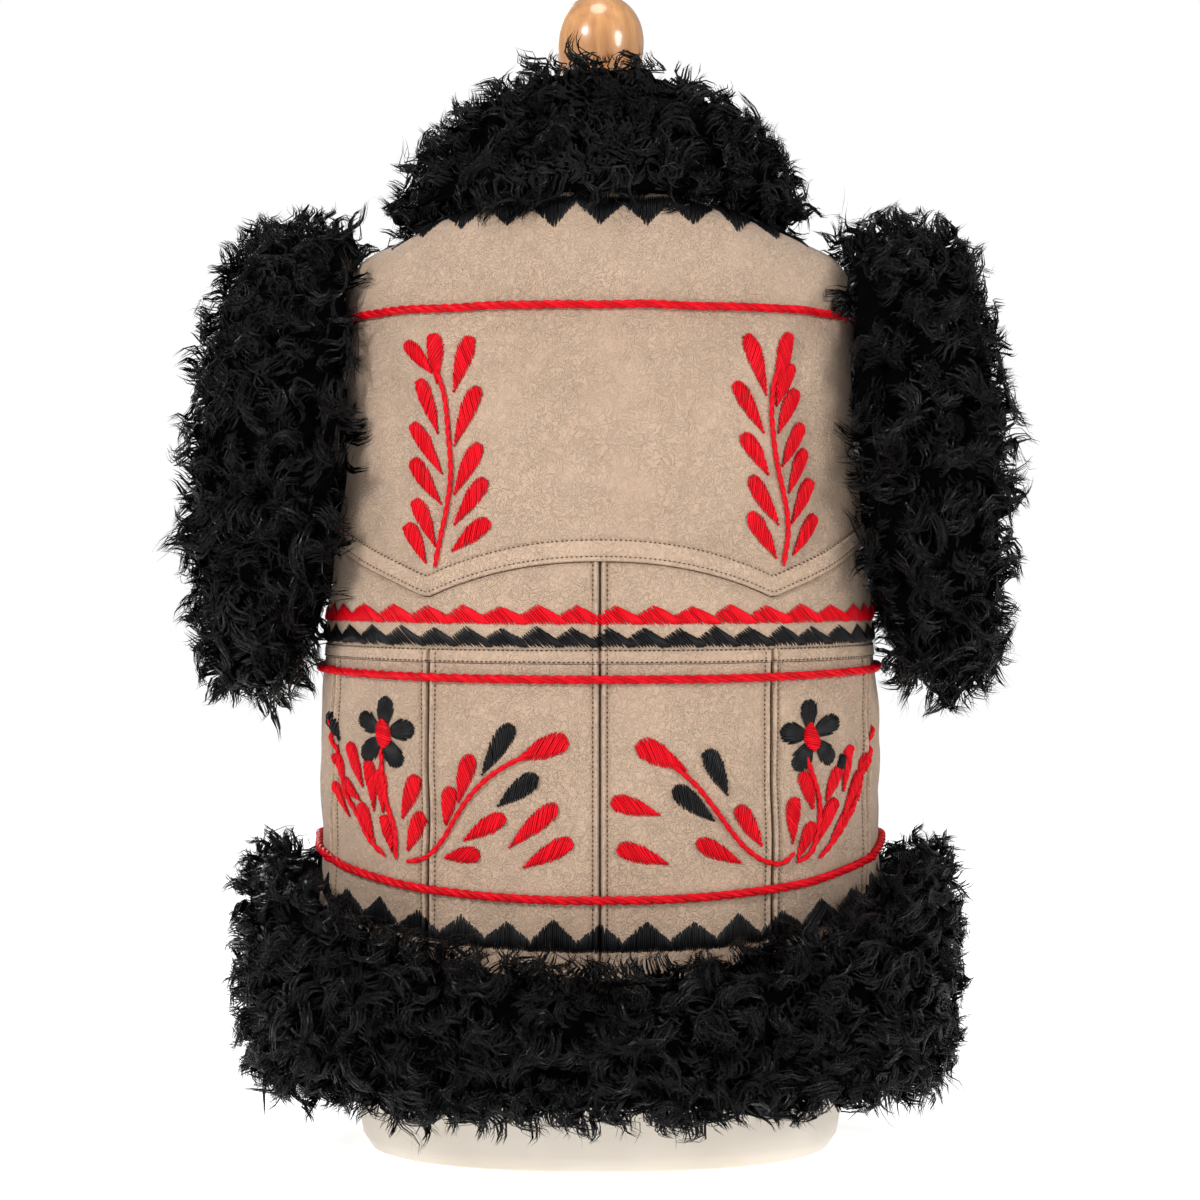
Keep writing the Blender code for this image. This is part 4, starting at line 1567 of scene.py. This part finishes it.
def facing_inward(places, facing):
    """How much each place of a trim faces the body's upright axis, from 0 to 1."""
    return np.clip(-(unit(places[:, :2]) * facing[:, :2]).sum(axis=1), 0, 1)


# %% Keeping hair off the hide
HIDE_SAMPLE_STEP = 0.005
HIDE_SAMPLE_REACH = 0.520
NEAR_HIDE = (0.205, 0.147)
NEAR_HIDE_LEVELS = (0.125, 0.670)
HAIR_CLEARANCE = 0.0020
TOUCH_REACH = 0.007


def tree_of(points):
    """A search tree that finds the nearest of some places."""
    tree = kdtree.KDTree(len(points))
    for index, point in enumerate(points):
        tree.insert(point, index)
    tree.balance()
    return tree


def hide_samples():
    """Places all over the hide and their normals, to test hair against."""
    across, level = np.meshgrid(
        np.arange(-HIDE_SAMPLE_REACH, HIDE_SAMPLE_REACH + 0.001, HIDE_SAMPLE_STEP),
        np.arange(HEM_LEVEL, NECK_LEVEL, HIDE_SAMPLE_STEP))
    return cloth(across.ravel(), level.ravel())


HIDE_POINTS, HIDE_NORMALS = hide_samples()
HIDE_TREE = tree_of(HIDE_POINTS)
print("hide sampled at", len(HIDE_POINTS), "places")


def lift_off_hide(points):
    """Lift hair points that would run into the hide to just above it."""
    near = np.nonzero((np.abs(points[:, 0]) < NEAR_HIDE[0]) & (np.abs(points[:, 1]) < NEAR_HIDE[1])
                      & (points[:, 2] > NEAR_HIDE_LEVELS[0]) & (points[:, 2] < NEAR_HIDE_LEVELS[1]))[0]
    found = np.array([HIDE_TREE.find(points[index])[1] for index in near], int)
    gap = points[near] - HIDE_POINTS[found]
    above = (gap * HIDE_NORMALS[found]).sum(axis=1)
    aside = np.linalg.norm(gap - HIDE_NORMALS[found] * above[:, None], axis=1)
    sunk = (above < HAIR_CLEARANCE) & (aside < TOUCH_REACH)
    points[near] += HIDE_NORMALS[found] * np.where(sunk, HAIR_CLEARANCE - above, 0.0)[:, None]
    return points


# %% Planning the locks
HAIRS_PER_LOCK = 11
ROOT_INSET = 0.019
TIP_PROUD = 0.0015
LOCK_DROOP = 0.55
LEAN_DEGREES = (26, 60)
CURL_RADIUS = (0.0040, 0.0078)
CURL_TURNS = (0.75, 1.45)


def plan_locks(places, facing, upward, toward, rng):
    """Root, lean, curl and length of each lock, as arrays with a row for each lock."""
    locks = len(places)
    wander = rng.normal(size=facing.shape)
    rising = np.clip(facing[:, 2], 0, 1)
    wander[:, 2] += rising - LOCK_DROOP
    slide = unit(wander - facing * (wander * facing).sum(axis=1, keepdims=True))
    tilt = (np.radians(rng.uniform(*LEAN_DEGREES, locks)) * (1 - 0.40 * rising))[:, None]
    axis = facing * np.cos(tilt) + slide * np.sin(tilt)
    first = unit(np.cross(axis, rng.normal(size=axis.shape)))
    radius = rng.uniform(*CURL_RADIUS, locks)
    turns = rng.uniform(*CURL_TURNS, locks) * rng.choice([-1, 1], locks)
    phase = rng.uniform(0, 2 * math.pi, locks)
    proud = (TIP_PROUD + rng.normal(0, 0.0022, locks) + upward * rising
             + toward * facing_inward(places, facing))
    return {"out": facing, "root": places - facing * ROOT_INSET, "slide": slide, "axis": axis,
            "first": first, "second": np.cross(axis, first), "radius": radius, "turns": turns,
            "phase": phase, "length": (ROOT_INSET + proud - 0.5 * radius) / np.cos(tilt[:, 0])}


# %% Hairs of a lock
RIBBON_ROWS = 8
HAIR_RUN = np.linspace(0, 1, RIBBON_ROWS)
STRAY_SHARE = 0.10
GATHERING = 0.60


def column(values):
    return values[:, None]


def hair_paths(own, spread, facing, stray, rng):
    """Paths of all hairs as (hairs, rows, 3); each follows its lock, a little in its own way."""
    count = len(spread)
    length = own["length"] * rng.uniform(0.84, 1.06, count) * np.where(stray, 1.10, 1.0)
    radius = own["radius"] * rng.uniform(0.84, 1.16, count)
    phase = own["phase"] + rng.normal(0, 0.16, count)
    phase += np.where(stray, rng.uniform(-1.5, 1.5, count), 0)
    frizz_phase = rng.uniform(0, 2 * math.pi, count)
    frizz_size = rng.uniform(0.0002, 0.0007, count)
    frizz_a = unit(np.cross(facing, rng.normal(size=facing.shape)))
    frizz_b = np.cross(facing, frizz_a)
    paths = np.zeros((count, RIBBON_ROWS, 3))
    for row, t in enumerate(HAIR_RUN):
        angle = phase + 2 * math.pi * own["turns"] * t
        swing = radius * min(1.0, t / 0.35) * (1 - 0.30 * t * t)
        ripple = frizz_phase + 14.0 * t
        frizz = frizz_a * column(np.cos(ripple)) + frizz_b * column(np.sin(ripple))
        paths[:, row] = (own["root"] + spread * (1 - GATHERING * t ** 1.6)
                         + own["axis"] * column(length * t)
                         + own["slide"] * column(length * 0.16 * t * t)
                         + own["first"] * column(swing * np.cos(angle))
                         + own["second"] * column(swing * np.sin(angle))
                         + frizz * column(frizz_size * t))
    return lift_off_hide(paths.reshape(-1, 3)).reshape(count, RIBBON_ROWS, 3)


# %% Ribbons along the hairs
RIBBON_WIDTH = 0.00165


def ribbon_corners(paths, out, stray, rng):
    """Two rows of corners beside each path, which draw together at the tip."""
    count = len(paths)
    along = unit(np.gradient(paths, axis=1))
    look = unit(out + rng.normal(0, 0.40, (count, 3)))
    sideways = unit(np.cross(along, look[:, None, :]))
    width = RIBBON_WIDTH * rng.uniform(0.65, 1.30, count) * np.where(stray, 0.45, 1.0)
    taper = np.clip(1.05 - HAIR_RUN ** 3.0, 0.05, 1.0)
    half = (0.5 * column(width) * taper[None, :])[..., None]
    return np.stack([paths - sideways * half, paths + sideways * half], axis=2).reshape(-1, 3)


def ribbon_uvs(count):
    """Across each ribbon from 0 to 1, and along it from 0 at the root to 1 at the tip."""
    uvs = np.zeros((count, RIBBON_ROWS, 2, 2))
    uvs[:, :, 1, 0] = 1.0
    uvs[..., 1] = HAIR_RUN[None, :, None]
    return uvs.reshape(-1, 2)


# %% Growing a trim
SCATTER_SURPLUS = 3.6


def grow_fur(name, node, hairs, seed, keep, upward=0.0, toward=0.0):
    """A trim's curls as one mesh of ribbons, gathered into hooked locks."""
    rng = np.random.default_rng(seed)
    places, facing = scatter(solid_arrays(node), int(hairs * SCATTER_SURPLUS), rng)
    wanted = np.nonzero(keep(places, facing))[0][:hairs]
    places = places[wanted]
    facing = facing[wanted]
    count = len(places)
    lock_count = max(1, count // HAIRS_PER_LOCK)
    locks = plan_locks(places[:lock_count], facing[:lock_count], upward, toward, rng)
    nearest = tree_of(places[:lock_count])
    lock = np.array([nearest.find(place)[1] for place in places])
    own = {key: values[lock] for key, values in locks.items()}
    spread = places - facing * ROOT_INSET - own["root"]
    stray = rng.random(count) < STRAY_SHARE
    paths = hair_paths(own, spread, facing, stray, rng)
    corners = ribbon_corners(paths, own["out"], stray, rng)
    settle(build_piece(name, corners, strip_quads(count, RIBBON_ROWS, 2), FUR, ribbon_uvs(count)))
    print(f"  {count} ribbons in {lock_count} locks")


# %% Under-fur
UNDERFUR_INSET = 0.0175
INWARD_EASE = 0.60
LUMP_SIZE = 0.014
LUMP_HEIGHT = 0.006


def make_underfur(node):
    """The dense fur below the curls: the solid drawn in, subdivided and made lumpy."""
    name = "under_" + node
    corners, normals, triangles, _ = solid_arrays(node)
    inset = UNDERFUR_INSET * (1 - INWARD_EASE * facing_inward(corners, normals))
    mesh = bpy.data.meshes.new(name)
    mesh.from_pydata((corners - normals * column(inset)).tolist(), [], triangles.tolist())
    mesh.materials.append(UNDERFUR)
    piece = add_object(name, mesh)
    finer = piece.modifiers.new("finer", "SUBSURF")
    finer.levels = 1
    finer.render_levels = 1
    lumps = bpy.data.textures.new(name + "_lumps", "CLOUDS")
    lumps.noise_scale = LUMP_SIZE
    press = piece.modifiers.new("lumps", "DISPLACE")
    press.texture = lumps
    press.strength = LUMP_HEIGHT
    press.mid_level = 0.5
    mesh.shade_smooth()
    settle(piece, node)
    print(f"{name}: {len(triangles)} triangles before they are subdivided")


for node in ("collar_fur", "armhole_fur_left", "armhole_fur_right", "hem_fur"):
    make_underfur(node)


# %% Curls of each trim
def collar_roots(places, facing):
    """Everywhere but the underside that rests on the shoulders."""
    return facing[:, 2] > -0.86


def arm_roots(places, facing):
    """Everywhere but the face that lies against the body."""
    return facing[:, 0] * np.sign(places[:, 0]) > -0.96


def hem_roots(sign):
    """One half of the hem's trim, without the face that lies against the body."""
    def keep(places, facing):
        out = unit(places[:, :2])
        return ((facing[:, :2] * out).sum(axis=1) > -0.70) & (places[:, 1] * sign >= 0)
    return keep


grow_fur("collar_curls", "collar_fur", 7800, 21, collar_roots)
grow_fur("armhole_curls_left", "armhole_fur_left", 9200, 22, arm_roots, toward=0.010)
grow_fur("armhole_curls_right", "armhole_fur_right", 9200, 23, arm_roots, toward=0.010)
grow_fur("hem_curls_back", "hem_fur", 10000, 24, hem_roots(1), upward=0.006)
grow_fur("hem_curls_front", "hem_fur", 7600, 25, hem_roots(-1), upward=0.006)


# %% [markdown]
# ## The dress form
#
# The form is papier-mache covered with cream cotton, drawn smooth.  The solid has the right
# shape but shows its flat facets, so the same rings are lofted again here with many more
# steps.  The neck knob is wood turned on a lathe, so all its rings are true circles: the
# same loft makes it when its rings are told to be round.


# %% Form rings and knob outline
FORM_COLUMNS = ("height", "half_width", "back_depth", "front_depth")
FORM_ROWS = (
    (0.0000, 0.1500, 0.0980, 0.0980),
    (0.0025, 0.1580, 0.1050, 0.1050),
    (0.0080, 0.1630, 0.1095, 0.1095),
    (0.0180, 0.1655, 0.1120, 0.1120),
    (0.0800, 0.1690, 0.1150, 0.1150),
    (0.1600, 0.1740, 0.1190, 0.1190),
    (0.2500, 0.1760, 0.1170, 0.1190),
    (0.3400, 0.1700, 0.1090, 0.1120),
    (0.4200, 0.1660, 0.1090, 0.1130),
    (0.4900, 0.1660, 0.1090, 0.1130),
    (0.5350, 0.1650, 0.1040, 0.1040),
    (0.5620, 0.1630, 0.0980, 0.0910),
    (0.5800, 0.1580, 0.0930, 0.0820),
    (0.5930, 0.1480, 0.0870, 0.0740),
    (0.6050, 0.1300, 0.0800, 0.0660),
    (0.6170, 0.1040, 0.0720, 0.0600),
    (0.6300, 0.0790, 0.0640, 0.0560),
    (0.6450, 0.0610, 0.0560, 0.0520),
    (0.6650, 0.0510, 0.0490, 0.0490),
    (0.7200, 0.0460, 0.0460, 0.0460),
)
PROFILE_STEPS = 60
KNOB_COLUMNS = ("radius", "height")
KNOB_ROWS = (
    (0.0001, 0.8010),
    (0.0110, 0.7990),
    (0.0205, 0.7930),
    (0.0270, 0.7840),
    (0.0303, 0.7720),
    (0.0300, 0.7600),
    (0.0280, 0.7490),
    (0.0272, 0.7420),
    (0.0290, 0.7370),
    (0.0420, 0.7350),
    (0.0460, 0.7310),
    (0.0470, 0.7250),
    (0.0460, 0.7203),
)


def fill_in(rows, columns):
    """A table's columns on smooth curves, in many steps evenly along its outline."""
    return dict(zip(columns, smooth_line(rows, PROFILE_STEPS).T))


FORM = fill_in(FORM_ROWS, FORM_COLUMNS)
KNOB = fill_in(KNOB_ROWS[::-1], KNOB_COLUMNS)
print("form", FORM["height"][-1].round(3), "m to its neck, knob up to", KNOB["height"][-1].round(3))


# %% Loft
ROUND_SIDES = 120
END_SHRINK = 0.002


def loft(name, heights, half_widths, back_depths, front_depths, squareness, material):
    """A smooth closed body from rings, with a fan of quads over each end."""
    angle = np.linspace(0, 2 * math.pi, ROUND_SIDES, endpoint=False)
    sine = signed_power(np.sin(angle), 2.0 / squareness)
    cosine = signed_power(np.cos(angle), 2.0 / squareness)
    depth = np.where(cosine[None, :] > 0, back_depths[:, None], front_depths[:, None])
    rings = np.stack([half_widths[:, None] * sine[None, :], depth * cosine[None, :],
                      np.broadcast_to(heights[:, None], depth.shape)], axis=-1)
    middle = rings.mean(axis=1, keepdims=True)
    foot = middle[:1] + (rings[:1] - middle[:1]) * END_SHRINK
    head = middle[-1:] + (rings[-1:] - middle[-1:]) * END_SHRINK
    rings = np.concatenate([foot, rings, head])
    quads = tube_quads(1, len(rings), ROUND_SIDES)
    return build_piece(name, rings.reshape(-1, 3), quads, material)


# %% Cotton cover
def make_cotton():
    """Cream cotton with a fine even weave and slow changes of tone."""
    material, tree, shader = new_material("cream_cotton", 0.85, 0.3, sheen=0.2)
    place = object_place(tree)
    clouds = noise(tree, place, 14.0)
    cream = ramp(tree, clouds, [(0.30, (0.80, 0.715, 0.610)), (0.70, (0.88, 0.810, 0.715))])
    tree.links.new(cream, shader.inputs["Base Color"])
    threads = []
    for axis in ("X", "Z"):
        wave = add_node(tree, "ShaderNodeTexWave", wave_type="BANDS", bands_direction=axis)
        feed(tree, wave, {"Vector": place, "Scale": 420.0, "Distortion": 0.6, "Detail": 1.0})
        threads.append(wave.outputs["Fac"])
    weave = math_node(tree, "MULTIPLY", threads[0], threads[1])
    tree.links.new(bump(tree, weave, 0.25, 0.0004), shader.inputs["Normal"])
    return material


COTTON = make_cotton()
covered_form = loft("covered_form", FORM["height"], FORM["half_width"], FORM["back_depth"],
                    FORM["front_depth"], SQUARENESS, COTTON)
settle(covered_form, "dress_form")


# %% Varnished knob
ROUND = 2.0


def make_varnished_wood():
    """Beech with a drawn-out grain and fine flecks, under a clear coat."""
    material, tree, shader = new_material("varnished_beech", 0.28, 0.5)
    shader.inputs["Coat Weight"].default_value = 0.7
    shader.inputs["Coat Roughness"].default_value = 0.12
    stretch = add_node(tree, "ShaderNodeMapping")
    stretch.inputs["Scale"].default_value = (1.0, 1.0, 0.14)
    tree.links.new(object_place(tree), stretch.inputs["Vector"])
    drawn_out = stretch.outputs["Vector"]
    grain = noise(tree, drawn_out, 130.0, detail=4.0, roughness=0.6, distortion=0.4)
    honey = ramp(tree, grain, [(0.30, (0.42, 0.185, 0.065)), (0.70, (0.70, 0.360, 0.150))])
    flecks = noise(tree, drawn_out, 620.0, detail=2.0)
    honey = mix_color(tree, math_node(tree, "MULTIPLY", flecks, 0.30), honey, (0.36, 0.155, 0.055))
    tree.links.new(honey, shader.inputs["Base Color"])
    tree.links.new(bump(tree, flecks, 0.06, 0.0004), shader.inputs["Normal"])
    return material


BEECH = make_varnished_wood()
turned_knob = loft("turned_knob", KNOB["height"], KNOB["radius"], KNOB["radius"], KNOB["radius"],
                   ROUND, BEECH)
settle(turned_knob, "neck_knob")



# %% Triangle count
print("triangles added from arrays", triangle_total)
